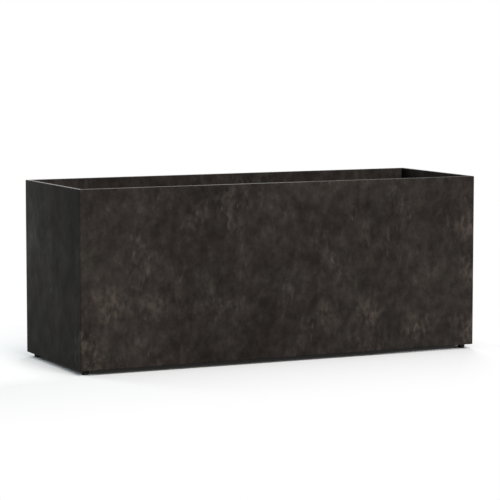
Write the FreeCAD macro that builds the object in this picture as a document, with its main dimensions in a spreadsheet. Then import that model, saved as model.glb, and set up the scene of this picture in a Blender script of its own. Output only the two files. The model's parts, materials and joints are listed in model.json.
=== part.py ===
import FreeCAD, Part
import os
import re
import Sketcher
from FreeCAD import Placement, Rotation, Vector

# A rectangular floor planter of folded sheet steel, with levelling feet, a drained floor tray and a
# cross tie. The origin is on the floor under the middle of the planter: X runs along its length, the
# front faces -Y and Z is up.

# Driving dimensions, in millimetres
SIZES = {
    # Shell: four folded walls with a flat rim on top and an in-turned ledge at the bottom
    "overall_length": 1118.0,
    "overall_width": 381.0,
    "shell_height": 448.0,
    "wall_gauge": 1.5,
    "bend_inside": 0.8,
    "corner_round": 1.5,
    "rim_width": 10.0,
    "rim_return": 36.0,
    "ledge_width": 40.0,
    # Upright angles in the corners
    "angle_leg": 20.0,
    "angle_gauge": 1.5,
    "brace_gap": 4.0,
    # Levelling feet
    "foot_inset_x": 21.0,
    "foot_inset_y": 25.0,
    "pad_diameter": 18.0,
    "pad_height": 7.5,
    "pad_edge": 0.8,
    "pivot_floor": 2.0,
    "pivot_head_diameter": 10.0,
    "pivot_head_height": 2.0,
    "pivot_neck_diameter": 7.0,
    "running_clearance": 0.05,
    "collar_gap": 0.1,
    "collar_flats": 16.0,
    "collar_height": 3.8,
    "ledge_gap": 0.1,
    "thread_diameter": 8.0,
    "screw_length": 27.0,
    "screw_tip": 1.0,
    "foot_hole_diameter": 10.0,
    "plate_size": 45.0,
    "plate_clip": 20.0,
    "plate_gap": 1.0,
    "plate_thickness": 3.0,
    "nut_flats": 13.0,
    "nut_height": 6.5,
    # Floor: hat-section bearers, the tray on them and its drains
    "bearer_setback": 189.0,
    "bearer_height": 30.0,
    "bearer_top_width": 40.0,
    "bearer_foot_width": 20.0,
    "bearer_gauge": 1.5,
    "bearer_end_gap": 1.0,
    "pan_gauge": 1.5,
    "pan_clearance": 0.5,
    "pan_edge_height": 25.0,
    "pan_corner": 3.0,
    "drain_diameter": 24.0,
    "dish_depth": 3.0,
    "dish_mouth_diameter": 68.0,
    "dish_floor_diameter": 46.0,
    "plug_flange_diameter": 36.0,
    "plug_flange_height": 3.0,
    "plug_clearance": 0.1,
    "plug_length": 12.0,
    "plug_taper": 1.0,
    "plug_tab_width": 20.0,
    "plug_tab_height": 11.0,
    "plug_tab_thickness": 4.0,
    # Cross tie and the uprights that it joins
    "stiffener_depth": 8.5,
    "stiffener_face_width": 50.0,
    "stiffener_foot_width": 14.0,
    "stiffener_gauge": 1.5,
    "tie_drop": 130.0,
    "tie_width": 40.0,
    "tie_gauge": 3.0,
    "tie_tab": 30.0,
    "tie_bolt_drop": 17.0,
    "tie_bolt_pitch": 22.0,
    "tie_bolt_diameter": 6.0,
    "tie_bolt_hole": 6.4,
    "tie_bolt_flange_diameter": 13.0,
    "tie_bolt_flange_height": 1.2,
    "tie_bolt_flats": 10.0,
    "tie_bolt_head_height": 3.8,
    "tie_bolt_end": 0.8,
    "tie_nut_height": 5.0,
    "tie_nut_bore": 6.1,
    # Blind rivets
    "rivet_diameter": 4.8,
    "rivet_hole_diameter": 4.9,
    "rivet_head_diameter": 9.6,
    "rivet_head_height": 1.6,
    "rivet_tail_diameter": 6.6,
    "rivet_tail_height": 3.0,
    "rivet_inset": 21.0,
    "floor_rivet_inset": 70.5,
}

# Places worked out from the driving dimensions, each from those above it
PLACES = {
    "half_length": "overall_length / 2",
    "half_width": "overall_width / 2",
    "inside_length": "half_length - wall_gauge",
    "inside_width": "half_width - wall_gauge",
    "collar_bottom": "pad_height + collar_gap",
    "collar_top": "collar_bottom + collar_height",
    "screw_top": "collar_top + screw_length",
    "shell_bottom": "collar_top + ledge_gap",
    "rim_top": "shell_bottom + shell_height",
    "ledge_top": "shell_bottom + wall_gauge",
    "plate_top": "ledge_top + plate_thickness",
    "bearer_pitch": "half_length - bearer_setback",
    "bearer_top": "ledge_top + bearer_height",
    "bearer_rivet_offset": "(bearer_top_width + bearer_foot_width) / 2",
    "drain_reach": "bearer_pitch / 2",
    "floor_rivet_reach": "half_width - floor_rivet_inset",
    "pan_top": "bearer_top + pan_gauge",
    "pan_edge_top": "bearer_top + pan_edge_height",
    "dish_floor": "pan_top - dish_depth",
    "brace_bottom": "pan_edge_top + brace_gap",
    "brace_top": "rim_top - rim_return - brace_gap",
    "tie_face": "inside_width - stiffener_depth",
    "tie_top": "rim_top - tie_drop",
    "tie_bolt_level": "tie_top - tie_bolt_drop",
}

# Corners of the planter, as the signs of x and y, each a quarter turn on from the one before
CORNERS = {
    "front_left": (-1, -1),
    "front_right": (1, -1),
    "back_right": (1, 1),
    "back_left": (-1, 1),
}
SIDES = {"left": -1, "middle": 0, "right": 1}

doc = FreeCAD.newDocument("planter")
sub_parts = []


def fill_sheet(name, cells):
    """A spreadsheet with one named cell per entry."""
    sheet = doc.addObject("Spreadsheet::Sheet", name)
    for row, (alias, content) in enumerate(cells.items(), start=1):
        sheet.set(f"A{row}", alias)
        sheet.set(f"B{row}", content)
        sheet.setAlias(f"B{row}", alias)
    return sheet


def formula(text, sheets):
    """Spells the plain size names in a formula as cells of the sheets that hold them."""

    def cell(match):
        word = match.group(0)
        for name, cells in sheets.items():
            if word in cells:
                return f"{name}.{word}"
        return word

    return re.sub(r"[a-z_]+", cell, text)


BOTH_SHEETS = {"Sizes": SIZES, "Places": PLACES}
sizes_sheet = fill_sheet("Sizes", {alias: str(size) for alias, size in SIZES.items()})
doc.recompute()
fill_sheet("Places", {alias: "=" + formula(text, {"Sizes": SIZES}) for alias, text in PLACES.items()})
doc.recompute()


def value(text):
    """The number that a formula gives now."""
    return float(sizes_sheet.evalExpression(formula(text, BOTH_SHEETS)))


def bind(item, name, text):
    """Ties a property of an object to a formula."""
    item.setExpression(name, formula(text, BOTH_SHEETS))


def new_body(label):
    """An empty body that becomes one sub-part."""
    body = doc.addObject("PartDesign::Body", label)
    body.Label = label
    sub_parts.append(body)
    return body


def origin(body, role):
    """One of a body's own planes or axes."""
    return {feature.Role: feature for feature in body.Origin.OriginFeatures}[role]


def sketch_on(body, name, plane, lift="0", shift="0"):
    """An empty sketch on a plane of the body, lifted off the plane and shifted along the sketch's x."""
    sketch = body.newObject("Sketcher::SketchObject", f"{body.Label}_{name}")
    sketch.AttachmentSupport = [(origin(body, plane), "")]
    sketch.MapMode = "FlatFace"
    bind(sketch, "AttachmentOffset.Base.z", lift)
    bind(sketch, "AttachmentOffset.Base.x", shift)
    return sketch


def pin(sketch, edge, end, x, y):
    """Holds a point of the sketch at a pair of formulas. A formula of None leaves that direction free."""
    for kind, axis, text in (("DistanceX", -2, x), ("DistanceY", -1, y)):
        if text is None:
            continue
        if text == "0":
            sketch.addConstraint(Sketcher.Constraint("PointOnObject", edge, end, axis))
            continue
        number = sketch.addConstraint(Sketcher.Constraint(kind, -1, 1, edge, end, value(text)))
        bind(sketch, f"Constraints[{number}]", text)


def outline(sketch, corners, arcs=None):
    """A closed outline through corners, each a pair of formulas. arcs maps a corner's number to the
    centre of the arc that runs counter-clockwise from it to the next corner, whose x follows the arc."""
    arcs = arcs or {}
    points = [Vector(value(x), value(y), 0) for x, y in corners]
    first = sketch.GeometryCount
    count = len(points)
    for i, start in enumerate(points):
        stop = points[(i + 1) % count]
        edge = Part.LineSegment(start, stop)
        if i in arcs:
            centre = Vector(value(arcs[i][0]), value(arcs[i][1]), 0)
            circle = Part.Circle(centre, Vector(0, 0, 1), (start - centre).Length)
            edge = Part.ArcOfCircle(circle, circle.parameter(start), circle.parameter(stop))
        sketch.addGeometry(edge, False)
    for i in range(count):
        following = (i + 1) % count
        sketch.addConstraint(Sketcher.Constraint("Coincident", first + i, 2, first + following, 1))
    for i, (x, y) in enumerate(corners):
        ends_an_arc = (i - 1) % count in arcs
        pin(sketch, first + i, 1, None if ends_an_arc else x, y)
    for i, (x, y) in arcs.items():
        pin(sketch, first + i, 3, x, y)


def circles(sketch, diameter, centres):
    """Equal circles at pairs of formulas."""
    for x, y in centres:
        circle = Part.Circle(Vector(value(x), value(y), 0), Vector(0, 0, 1), value(diameter) / 2)
        edge = sketch.addGeometry(circle, False)
        number = sketch.addConstraint(Sketcher.Constraint("Diameter", edge, value(diameter)))
        bind(sketch, f"Constraints[{number}]", diameter)
        pin(sketch, edge, 3, x, y)


def hexagon(sketch, flats):
    """A hexagon about the sketch's origin, from its width across flats."""
    side = f"{flats} / 2"
    low = f"{flats} / sqrt(12)"
    high = f"{flats} / sqrt(3)"
    outline(sketch, [
        (side, f"-{low}"),
        (side, low),
        ("0", high),
        (f"-{side}", low),
        (f"-{side}", f"-{low}"),
        ("0", f"-{high}"),
    ])


def pad(body, name, sketch, length, symmetric=False, reverse=False):
    """Extrudes a sketch into a solid."""
    feature = body.newObject("PartDesign::Pad", f"{body.Label}_{name}")
    feature.Profile = sketch
    feature.SideType = "Symmetric" if symmetric else "One side"
    feature.Reversed = reverse
    bind(feature, "Length", length)
    return feature


def cut_through(body, name, sketch):
    """Cuts a sketch through the whole body, both ways, and makes sure that it took something away."""
    doc.recompute()
    before = body.Shape.Volume
    feature = body.newObject("PartDesign::Pocket", f"{body.Label}_{name}")
    feature.Profile = sketch
    feature.SideType = "Symmetric"
    feature.Type = "ThroughAll"
    doc.recompute()
    if body.Shape.Volume >= before:
        raise RuntimeError(f"{feature.Name} cut nothing")
    return feature


def turn_about(body, name, sketch, kind="Revolution"):
    """Turns a sketch about its own vertical axis, as a solid or as a groove."""
    feature = body.newObject(f"PartDesign::{kind}", f"{body.Label}_{name}")
    feature.Profile = sketch
    feature.ReferenceAxis = (sketch, ["V_Axis"])
    feature.Angle = 360.0
    return feature


def edges_along(feature, axis, spots):
    """Names of the straight edges along an axis that stand at the given spots of the plane across it."""
    first, second = [letter for letter in "xyz" if letter != axis]
    wanted = [(value(a), value(b)) for a, b in spots]
    names = []
    for number, edge in enumerate(feature.Shape.Edges, start=1):
        ends = [vertex.Point for vertex in edge.Vertexes]
        for a, b in wanted:
            if all(abs(getattr(p, first) - a) + abs(getattr(p, second) - b) < 0.001 for p in ends):
                names.append(f"Edge{number}")
    if len(names) < len(wanted):
        raise RuntimeError(f"{feature.Name} has too few edges to round")
    return names


def round_edges(body, name, feature, radius, axis, spots):
    """Rounds straight edges, as a bend does."""
    doc.recompute()
    fillet = body.newObject("PartDesign::Fillet", f"{body.Label}_{name}")
    fillet.Base = (feature, edges_along(feature, axis, spots))
    bind(fillet, "Radius", radius)
    return fillet


def round_bends(body, feature, axis, inside, outer_spots, inner_spots, gauge):
    """Rounds the two sides of each fold of a sheet, one thickness apart."""
    outer = round_edges(body, "outer_bends", feature, f"{inside} + {gauge}", axis, outer_spots)
    return round_edges(body, "inner_bends", outer, inside, axis, inner_spots)


def mirror(body, name, features, plane):
    """Repeats features on the other side of a plane of the body."""
    feature = body.newObject("PartDesign::Mirrored", f"{body.Label}_{name}")
    feature.Originals = features
    feature.MirrorPlane = (origin(body, plane), [""])
    body.Tip = feature
    return feature


def repeat(body, features, steps):
    """Repeats features over several mirrors and rows, one after the other."""
    multi = body.newObject("PartDesign::MultiTransform", f"{body.Label}_repeat")
    multi.Originals = features
    multi.Transformations = steps
    body.Tip = multi


def mirror_step(body, plane):
    """A mirror for use in a repeat."""
    step = body.newObject("PartDesign::Mirrored", f"{body.Label}_{plane}_step")
    step.MirrorPlane = (origin(body, plane), [""])
    return step


def row_step(body, name, spacing, count):
    """A row along X for use in a repeat."""
    step = body.newObject("PartDesign::LinearPattern", f"{body.Label}_{name}")
    step.Direction = (origin(body, "X_Axis"), [""])
    step.Mode = "Spacing"
    step.Occurrences = count
    bind(step, "Offset", spacing)
    return step


def turned(body, quarters, x="0", y="0"):
    """Turns a body about Z by quarter turns and moves it to a pair of formulas."""
    body.Placement = Placement(Vector(0, 0, 0), Rotation(Vector(0, 0, 1), 90 * quarters))
    bind(body, "Placement.Base.x", x)
    bind(body, "Placement.Base.y", y)


def bearer_rivet_places():
    """Places along X of the rivets that hold the bearers to a ledge."""
    return [
        f"{side} * bearer_pitch {sign} bearer_rivet_offset"
        for side in SIDES.values()
        for sign in "+-"
    ]


def wall_panel(label, half_span, reach, inset_along, inset_across, quarters, carries_bearers):
    """A wall folded from one sheet: rim and return at the top, ledge at the bottom, both ends mitred."""
    body = new_body(label)
    rim_edge = f"rim_width - {reach}"
    section = sketch_on(body, "section", "YZ_Plane")
    outline(section, [
        (f"-{reach}", "shell_bottom"),
        (f"-{reach}", "rim_top"),
        (rim_edge, "rim_top"),
        (rim_edge, "rim_top - rim_return"),
        (f"{rim_edge} - wall_gauge", "rim_top - rim_return"),
        (f"{rim_edge} - wall_gauge", "rim_top - wall_gauge"),
        (f"wall_gauge - {reach}", "rim_top - wall_gauge"),
        (f"wall_gauge - {reach}", "ledge_top"),
        (f"ledge_width - {reach}", "ledge_top"),
        (f"ledge_width - {reach}", "shell_bottom"),
    ])
    sheet = pad(body, "sheet", section, f"2 * {half_span}", symmetric=True)
    outer_bends = [(f"-{reach}", "shell_bottom"), (f"-{reach}", "rim_top"), (rim_edge, "rim_top")]
    inner_bends = [
        (f"wall_gauge - {reach}", "ledge_top"),
        (f"wall_gauge - {reach}", "rim_top - wall_gauge"),
        (f"{rim_edge} - wall_gauge", "rim_top - wall_gauge"),
    ]
    round_bends(body, sheet, "x", "bend_inside", outer_bends, inner_bends, "wall_gauge")

    # The mitre starts in the rounded outer corner and runs at 45 degrees past the ledge
    beyond = "2 * ledge_width"
    mitre = sketch_on(body, "mitre", "XY_Plane")
    start = "corner_round * (1 - sqrt(0.5))"
    outline(
        mitre,
        [
            (f"{half_span} - corner_round", f"-{reach}"),
            (f"{half_span} - {start}", f"{start} - {reach}"),
            (f"{half_span} - {beyond}", f"{beyond} - {reach}"),
            (f"{half_span} + {beyond}", f"{beyond} - {reach}"),
            (f"{half_span} + {beyond}", f"-{reach} - {beyond}"),
            (f"{half_span} - corner_round", f"-{reach} - {beyond}"),
        ],
        arcs={0: (f"{half_span} - corner_round", f"corner_round - {reach}")},
    )
    mirror(body, "other_mitre", [cut_through(body, "mitre_cut", mitre)], "YZ_Plane")

    foot_holes = sketch_on(body, "foot_holes", "XY_Plane")
    foot_row = f"{inset_across} - {reach}"
    circles(foot_holes, "foot_hole_diameter", [
        (f"{half_span} - {inset_along}", foot_row),
        (f"{inset_along} - {half_span}", foot_row),
    ])
    cut_through(body, "foot_hole_cut", foot_holes)
    if carries_bearers:
        rivet_holes = sketch_on(body, "rivet_holes", "XY_Plane")
        rivet_row = f"rivet_inset - {reach}"
        circles(rivet_holes, "rivet_hole_diameter", [(x, rivet_row) for x in bearer_rivet_places()])
        cut_through(body, "rivet_hole_cut", rivet_holes)
    turned(body, quarters)


def corner_angle(corner, x_sign, y_sign, quarters):
    """An upright angle in a corner, folded from strip and welded to both walls."""
    body = new_body(f"corner_angle_{corner}")
    section = sketch_on(body, "section", "XY_Plane", "brace_bottom")
    outline(section, [
        ("0", "0"),
        ("angle_leg", "0"),
        ("angle_leg", "angle_gauge"),
        ("angle_gauge", "angle_gauge"),
        ("angle_gauge", "angle_leg"),
        ("0", "angle_leg"),
    ])
    strip = pad(body, "strip", section, "brace_top - brace_bottom")
    fold = [("0", "0")]
    inner_fold = [("angle_gauge", "angle_gauge")]
    round_bends(body, strip, "z", "bend_inside", fold, inner_fold, "angle_gauge")
    turned(body, quarters, f"{x_sign} * inside_length", f"{y_sign} * inside_width")


def foot_place(x_sign, y_sign):
    """Where a foot stands, as a pair of formulas."""
    return f"{x_sign} * (half_length - foot_inset_x)", f"{y_sign} * (half_width - foot_inset_y)"


def foot_plate(corner, x_sign, y_sign):
    """A corner plate on the ledges, over the mitre, with the hole for the levelling screw."""
    body = new_body(f"foot_plate_{corner}")
    edge_x = "inside_length - plate_gap"
    edge_y = "inside_width - plate_gap"
    far = "plate_size"
    near = "(plate_size - plate_clip)"
    shape = sketch_on(body, "shape", "XY_Plane", "ledge_top")
    outline(shape, [
        (f"{x_sign} * ({edge_x})", f"{y_sign} * ({edge_y})"),
        (f"{x_sign} * ({edge_x} - {far})", f"{y_sign} * ({edge_y})"),
        (f"{x_sign} * ({edge_x} - {far})", f"{y_sign} * ({edge_y} - {near})"),
        (f"{x_sign} * ({edge_x} - {near})", f"{y_sign} * ({edge_y} - {far})"),
        (f"{x_sign} * ({edge_x})", f"{y_sign} * ({edge_y} - {far})"),
    ])
    circles(shape, "foot_hole_diameter", [foot_place(x_sign, y_sign)])
    pad(body, "plate", shape, "plate_thickness")


def foot_nut(corner, x_sign, y_sign):
    """The weld nut on a corner plate, in which the levelling screw turns."""
    body = new_body(f"foot_nut_{corner}")
    shape = sketch_on(body, "shape", "XY_Plane", "plate_top")
    hexagon(shape, "nut_flats")
    circles(shape, "thread_diameter + 2 * running_clearance", [("0", "0")])
    pad(body, "nut", shape, "nut_height")
    turned(body, 0, *foot_place(x_sign, y_sign))


def foot_pad(corner, x_sign, y_sign):
    """The round nylon pad, with the socket that the screw's pivot snaps into."""
    body = new_body(f"foot_pad_{corner}")
    section = sketch_on(body, "section", "XZ_Plane")
    radius = "pad_diameter / 2"
    neck = "pivot_neck_diameter / 2 + running_clearance"
    socket = "pivot_head_diameter / 2 + running_clearance"
    socket_top = "pivot_floor + pivot_head_height + 2 * running_clearance"
    outline(section, [
        ("0", "0"),
        (f"{radius} - pad_edge", "0"),
        (radius, "pad_edge"),
        (radius, "pad_height - pad_edge"),
        (f"{radius} - pad_edge", "pad_height"),
        (neck, "pad_height"),
        (neck, socket_top),
        (socket, socket_top),
        (socket, "pivot_floor"),
        ("0", "pivot_floor"),
    ])
    turn_about(body, "pad", section)
    turned(body, 0, *foot_place(x_sign, y_sign))


def foot_screw(corner, x_sign, y_sign):
    """The levelling screw: pivot, hex collar and a threaded stem, drawn at its outer diameter."""
    body = new_body(f"foot_screw_{corner}")
    section = sketch_on(body, "section", "XZ_Plane")
    head = "pivot_head_diameter / 2"
    neck = "pivot_neck_diameter / 2"
    stem = "thread_diameter / 2"
    head_bottom = "pivot_floor + running_clearance"
    head_top = f"{head_bottom} + pivot_head_height"
    outline(section, [
        ("0", head_bottom),
        (head, head_bottom),
        (head, head_top),
        (neck, head_top),
        (neck, "collar_bottom"),
        (stem, "collar_bottom"),
        (stem, "screw_top - screw_tip"),
        (f"{stem} - screw_tip", "screw_top"),
        ("0", "screw_top"),
    ])
    turn_about(body, "stem", section)
    collar = sketch_on(body, "collar_shape", "XY_Plane", "collar_bottom")
    hexagon(collar, "collar_flats")
    pad(body, "collar", collar, "collar_height")
    turned(body, 0, *foot_place(x_sign, y_sign))


def hat_outline(sketch, half_face, foot, gauge, base, crown):
    """A hat section: a raised face between two folded feet, from its base line to its crown."""
    wide = f"({half_face} + {foot})"
    outline(sketch, [
        (f"-{wide}", base),
        (f"-{wide}", f"{base} + {gauge}"),
        (f"-{half_face}", f"{base} + {gauge}"),
        (f"-{half_face}", crown),
        (half_face, crown),
        (half_face, f"{base} + {gauge}"),
        (wide, f"{base} + {gauge}"),
        (wide, base),
        (f"{half_face} - {gauge}", base),
        (f"{half_face} - {gauge}", f"{crown} - {gauge}"),
        (f"{gauge} - {half_face}", f"{crown} - {gauge}"),
        (f"{gauge} - {half_face}", base),
    ])


def hat_bends(half_face, gauge, base, crown):
    """The spots of a hat section's outside and inside bends."""
    outer = [
        (f"-{half_face}", crown),
        (half_face, crown),
        (f"{half_face} - {gauge}", base),
        (f"{gauge} - {half_face}", base),
    ]
    inner = [
        (f"{half_face} - {gauge}", f"{crown} - {gauge}"),
        (f"{gauge} - {half_face}", f"{crown} - {gauge}"),
        (f"-{half_face}", f"{base} + {gauge}"),
        (half_face, f"{base} + {gauge}"),
    ]
    return outer, inner


def floor_bearer(side, place):
    """A hat channel across the planter, riveted to the front and back ledges."""
    body = new_body(f"floor_bearer_{side}")
    half_face = "bearer_top_width / 2"
    section = sketch_on(body, "section", "XZ_Plane")
    hat_outline(section, half_face, "bearer_foot_width", "bearer_gauge", "ledge_top", "bearer_top")
    channel = pad(body, "channel", section, "2 * (inside_width - bearer_end_gap)", symmetric=True)
    outer, inner = hat_bends(half_face, "bearer_gauge", "ledge_top", "bearer_top")
    round_bends(body, channel, "y", "bend_inside", outer, inner, "bearer_gauge")
    holes = sketch_on(body, "rivet_holes", "XY_Plane")
    row = "half_width - rivet_inset"
    centres = [
        (f"{x}bearer_rivet_offset", f"{y}({row})")
        for x in ("", "-")
        for y in ("", "-")
    ]
    centres += [("0", "floor_rivet_reach"), ("0", "-floor_rivet_reach")]
    circles(holes, "rivet_hole_diameter", centres)
    cut_through(body, "rivet_hole_cut", holes)
    turned(body, 0, f"{place} * bearer_pitch")


def rectangle(half_x, half_y):
    """The four corners of a centred rectangle."""
    return [
        (f"-({half_x})", f"-({half_y})"),
        (half_x, f"-({half_y})"),
        (half_x, half_y),
        (f"-({half_x})", half_y),
    ]


def floor_pan():
    """The tray on the bearers, with upturned edges and two dished drains."""
    body = new_body("floor_pan")
    half_x = "inside_length - pan_clearance"
    half_y = "inside_width - pan_clearance"
    corners = rectangle(half_x, half_y)
    base = sketch_on(body, "base", "XY_Plane", "bearer_top")
    outline(base, corners)
    block = pad(body, "block", base, "pan_edge_height")
    rounded = round_edges(body, "corners", block, "pan_corner", "z", corners)
    doc.recompute()
    faces = rounded.Shape.Faces
    top = max(range(len(faces)), key=lambda number: faces[number].CenterOfMass.z)
    hollow = body.newObject("PartDesign::Thickness", "floor_pan_hollow")
    hollow.Base = (rounded, [f"Face{top + 1}"])
    hollow.Reversed = True
    bind(hollow, "Value", "pan_gauge")

    mouth = "dish_mouth_diameter / 2"
    floor = "dish_floor_diameter / 2"
    pressed = sketch_on(body, "dish_under", "XZ_Plane", shift="drain_reach")
    outline(pressed, [
        ("0", "bearer_top"),
        (mouth, "bearer_top"),
        (floor, "bearer_top - dish_depth"),
        ("0", "bearer_top - dish_depth"),
    ])
    dish_under = turn_about(body, "dish_under_turn", pressed)
    doc.recompute()
    recess = sketch_on(body, "dish_recess", "XZ_Plane", shift="drain_reach")
    outline(recess, [
        ("0", "pan_top"),
        (mouth, "pan_top"),
        (floor, "dish_floor"),
        ("0", "dish_floor"),
    ])
    dish_recess = turn_about(body, "dish_recess_turn", recess, "Groove")
    drain = sketch_on(body, "drain", "XY_Plane")
    circles(drain, "drain_diameter", [("drain_reach", "0")])
    drain_cut = cut_through(body, "drain_cut", drain)
    mirror(body, "other_drain", [dish_under, dish_recess, drain_cut], "YZ_Plane")
    holes = sketch_on(body, "rivet_holes", "XY_Plane")
    circles(holes, "rivet_hole_diameter", [
        (f"{place} * bearer_pitch", f"{sign}floor_rivet_reach")
        for place in SIDES.values()
        for sign in ("", "-")
    ])
    cut_through(body, "rivet_hole_cut", holes)


def drain_plug(side, sign):
    """A tapered rubber plug with a flange that seats in the dish and a tab to pull it by."""
    body = new_body(f"drain_plug_{side}")
    section = sketch_on(body, "section", "XZ_Plane")
    bore = "drain_diameter / 2 - plug_clearance"
    neck_bottom = "dish_floor - pan_gauge"
    tip = "dish_floor - plug_length"
    flange_top = "dish_floor + plug_flange_height"
    outline(section, [
        ("0", tip),
        (f"{bore} - plug_taper", tip),
        (bore, neck_bottom),
        (bore, "dish_floor"),
        ("plug_flange_diameter / 2", "dish_floor"),
        ("plug_flange_diameter / 2", flange_top),
        ("0", flange_top),
    ])
    turn_about(body, "plug", section)
    tab = sketch_on(body, "tab_shape", "XZ_Plane")
    half_tab = "plug_tab_width / 2"
    shoulder = f"{flange_top} + plug_tab_height - {half_tab}"
    outline(
        tab,
        [
            (half_tab, "dish_floor"),
            (half_tab, shoulder),
            (f"-{half_tab}", shoulder),
            (f"-{half_tab}", "dish_floor"),
        ],
        arcs={1: ("0", shoulder)},
    )
    pad(body, "tab", tab, "plug_tab_thickness", symmetric=True)
    turned(body, 0, f"{sign} * drain_reach")


def stiffener(label, quarters):
    """An upright hat section at mid-length, welded to a long wall, which takes the cross tie."""
    body = new_body(label)
    half_face = "stiffener_face_width / 2"
    section = sketch_on(body, "section", "XY_Plane", "brace_bottom")
    base = "-inside_width"
    crown = "-tie_face"
    hat_outline(section, half_face, "stiffener_foot_width", "stiffener_gauge", base, crown)
    strip = pad(body, "strip", section, "brace_top - brace_bottom")
    outer, inner = hat_bends(half_face, "stiffener_gauge", base, crown)
    round_bends(body, strip, "z", "bend_inside", outer, inner, "stiffener_gauge")
    cut_through(body, "bolt_hole_cut", tie_bolt_holes(body))
    turned(body, quarters)


def tie_bolt_holes(body):
    """A sketch of the two bolt holes at each end of the cross tie."""
    holes = sketch_on(body, "bolt_holes", "XZ_Plane")
    half_pitch = "tie_bolt_pitch / 2"
    circles(holes, "tie_bolt_hole", [(half_pitch, "tie_bolt_level"), (f"-{half_pitch}", "tie_bolt_level")])
    return holes


def tie_bar():
    """The strip that ties the long walls together, with a tab folded down at each end."""
    body = new_body("tie_bar")
    section = sketch_on(body, "section", "YZ_Plane")
    tab_bottom = "tie_top - tie_tab"
    under = "tie_top - tie_gauge"
    outline(section, [
        ("-tie_face", "tie_top"),
        ("tie_face", "tie_top"),
        ("tie_face", tab_bottom),
        ("tie_face - tie_gauge", tab_bottom),
        ("tie_face - tie_gauge", under),
        ("tie_gauge - tie_face", under),
        ("tie_gauge - tie_face", tab_bottom),
        ("-tie_face", tab_bottom),
    ])
    strip = pad(body, "strip", section, "tie_width", symmetric=True)
    outer = [("-tie_face", "tie_top"), ("tie_face", "tie_top")]
    inner = [("tie_face - tie_gauge", under), ("tie_gauge - tie_face", under)]
    round_bends(body, strip, "x", "bend_inside", outer, inner, "tie_gauge")
    cut_through(body, "bolt_hole_cut", tie_bolt_holes(body))


def tie_bolts():
    """Four flanged hex bolts, which pass through the tie's tabs and the stiffeners."""
    body = new_body("tie_bolts")
    shank = "tie_bolt_diameter / 2"
    seat = "tie_gauge - tie_face"
    tip = "-tie_face - stiffener_gauge - tie_nut_height - tie_bolt_end"
    flange_top = f"{seat} + tie_bolt_flange_height"
    section = sketch_on(body, "section", "XY_Plane", "tie_bolt_level", "tie_bolt_pitch / 2")
    outline(section, [
        ("0", tip),
        (f"{shank} - tie_bolt_end", tip),
        (shank, f"{tip} + tie_bolt_end"),
        (shank, seat),
        ("tie_bolt_flange_diameter / 2", seat),
        ("tie_bolt_flange_diameter / 2", flange_top),
        ("0", flange_top),
    ])
    bolt = turn_about(body, "bolt", section)
    head = sketch_on(body, "head_shape", "XZ_Plane", f"-({flange_top})", "tie_bolt_pitch / 2")
    bind(head, "AttachmentOffset.Base.y", "tie_bolt_level")
    hexagon(head, "tie_bolt_flats")
    bolt_head = pad(body, "head", head, "tie_bolt_head_height", reverse=True)
    doc.recompute()
    repeat(body, [bolt, bolt_head], [mirror_step(body, "YZ_Plane"), mirror_step(body, "XZ_Plane")])


def tie_nuts():
    """Four weld nuts inside the stiffeners."""
    body = new_body("tie_nuts")
    lift = "tie_face + stiffener_gauge"
    shape = sketch_on(body, "shape", "XZ_Plane", lift, "tie_bolt_pitch / 2")
    bind(shape, "AttachmentOffset.Base.y", "tie_bolt_level")
    hexagon(shape, "tie_bolt_flats")
    circles(shape, "tie_nut_bore", [("0", "0")])
    nut = pad(body, "nut", shape, "tie_nut_height")
    doc.recompute()
    repeat(body, [nut], [mirror_step(body, "YZ_Plane"), mirror_step(body, "XZ_Plane")])


def rivet(body, seat, grip, head_side, place_x, place_y):
    """One blind rivet: a domed head on its seat, a shank through the grip and a set tail beyond it."""
    section = sketch_on(body, "section", "XZ_Plane", f"-({place_y})", place_x)
    shank = "rivet_diameter / 2"
    tail = "rivet_tail_diameter / 2"
    far = f"({seat}) - {head_side} * ({grip})"
    end = f"{far} - {head_side} * rivet_tail_height"
    outline(section, [
        ("0", end),
        (tail, end),
        (tail, far),
        (shank, far),
        (shank, seat),
        ("rivet_head_diameter / 2", seat),
        ("rivet_head_diameter / 4", f"{seat} + {head_side} * rivet_head_height"),
        ("0", f"{seat} + {head_side} * rivet_head_height"),
    ])
    return turn_about(body, "rivet", section)


def bearer_rivets():
    """The rivets that hold the bearers' feet to the ledges, with their heads underneath."""
    body = new_body("bearer_rivets")
    first = "-bearer_pitch - bearer_rivet_offset"
    grip = "wall_gauge + bearer_gauge"
    one = rivet(body, "shell_bottom", grip, -1, first, "rivet_inset - half_width")
    doc.recompute()
    repeat(body, [one], [
        row_step(body, "pair", "2 * bearer_rivet_offset", 2),
        row_step(body, "bearers", "bearer_pitch", len(SIDES)),
        mirror_step(body, "XZ_Plane"),
    ])


def floor_rivets():
    """The rivets that hold the tray down on the bearers, with their heads on the tray."""
    body = new_body("floor_rivets")
    one = rivet(body, "pan_top", "pan_gauge + bearer_gauge", 1, "-bearer_pitch", "-floor_rivet_reach")
    doc.recompute()
    repeat(body, [one], [
        row_step(body, "bearers", "bearer_pitch", len(SIDES)),
        mirror_step(body, "XZ_Plane"),
    ])


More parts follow.
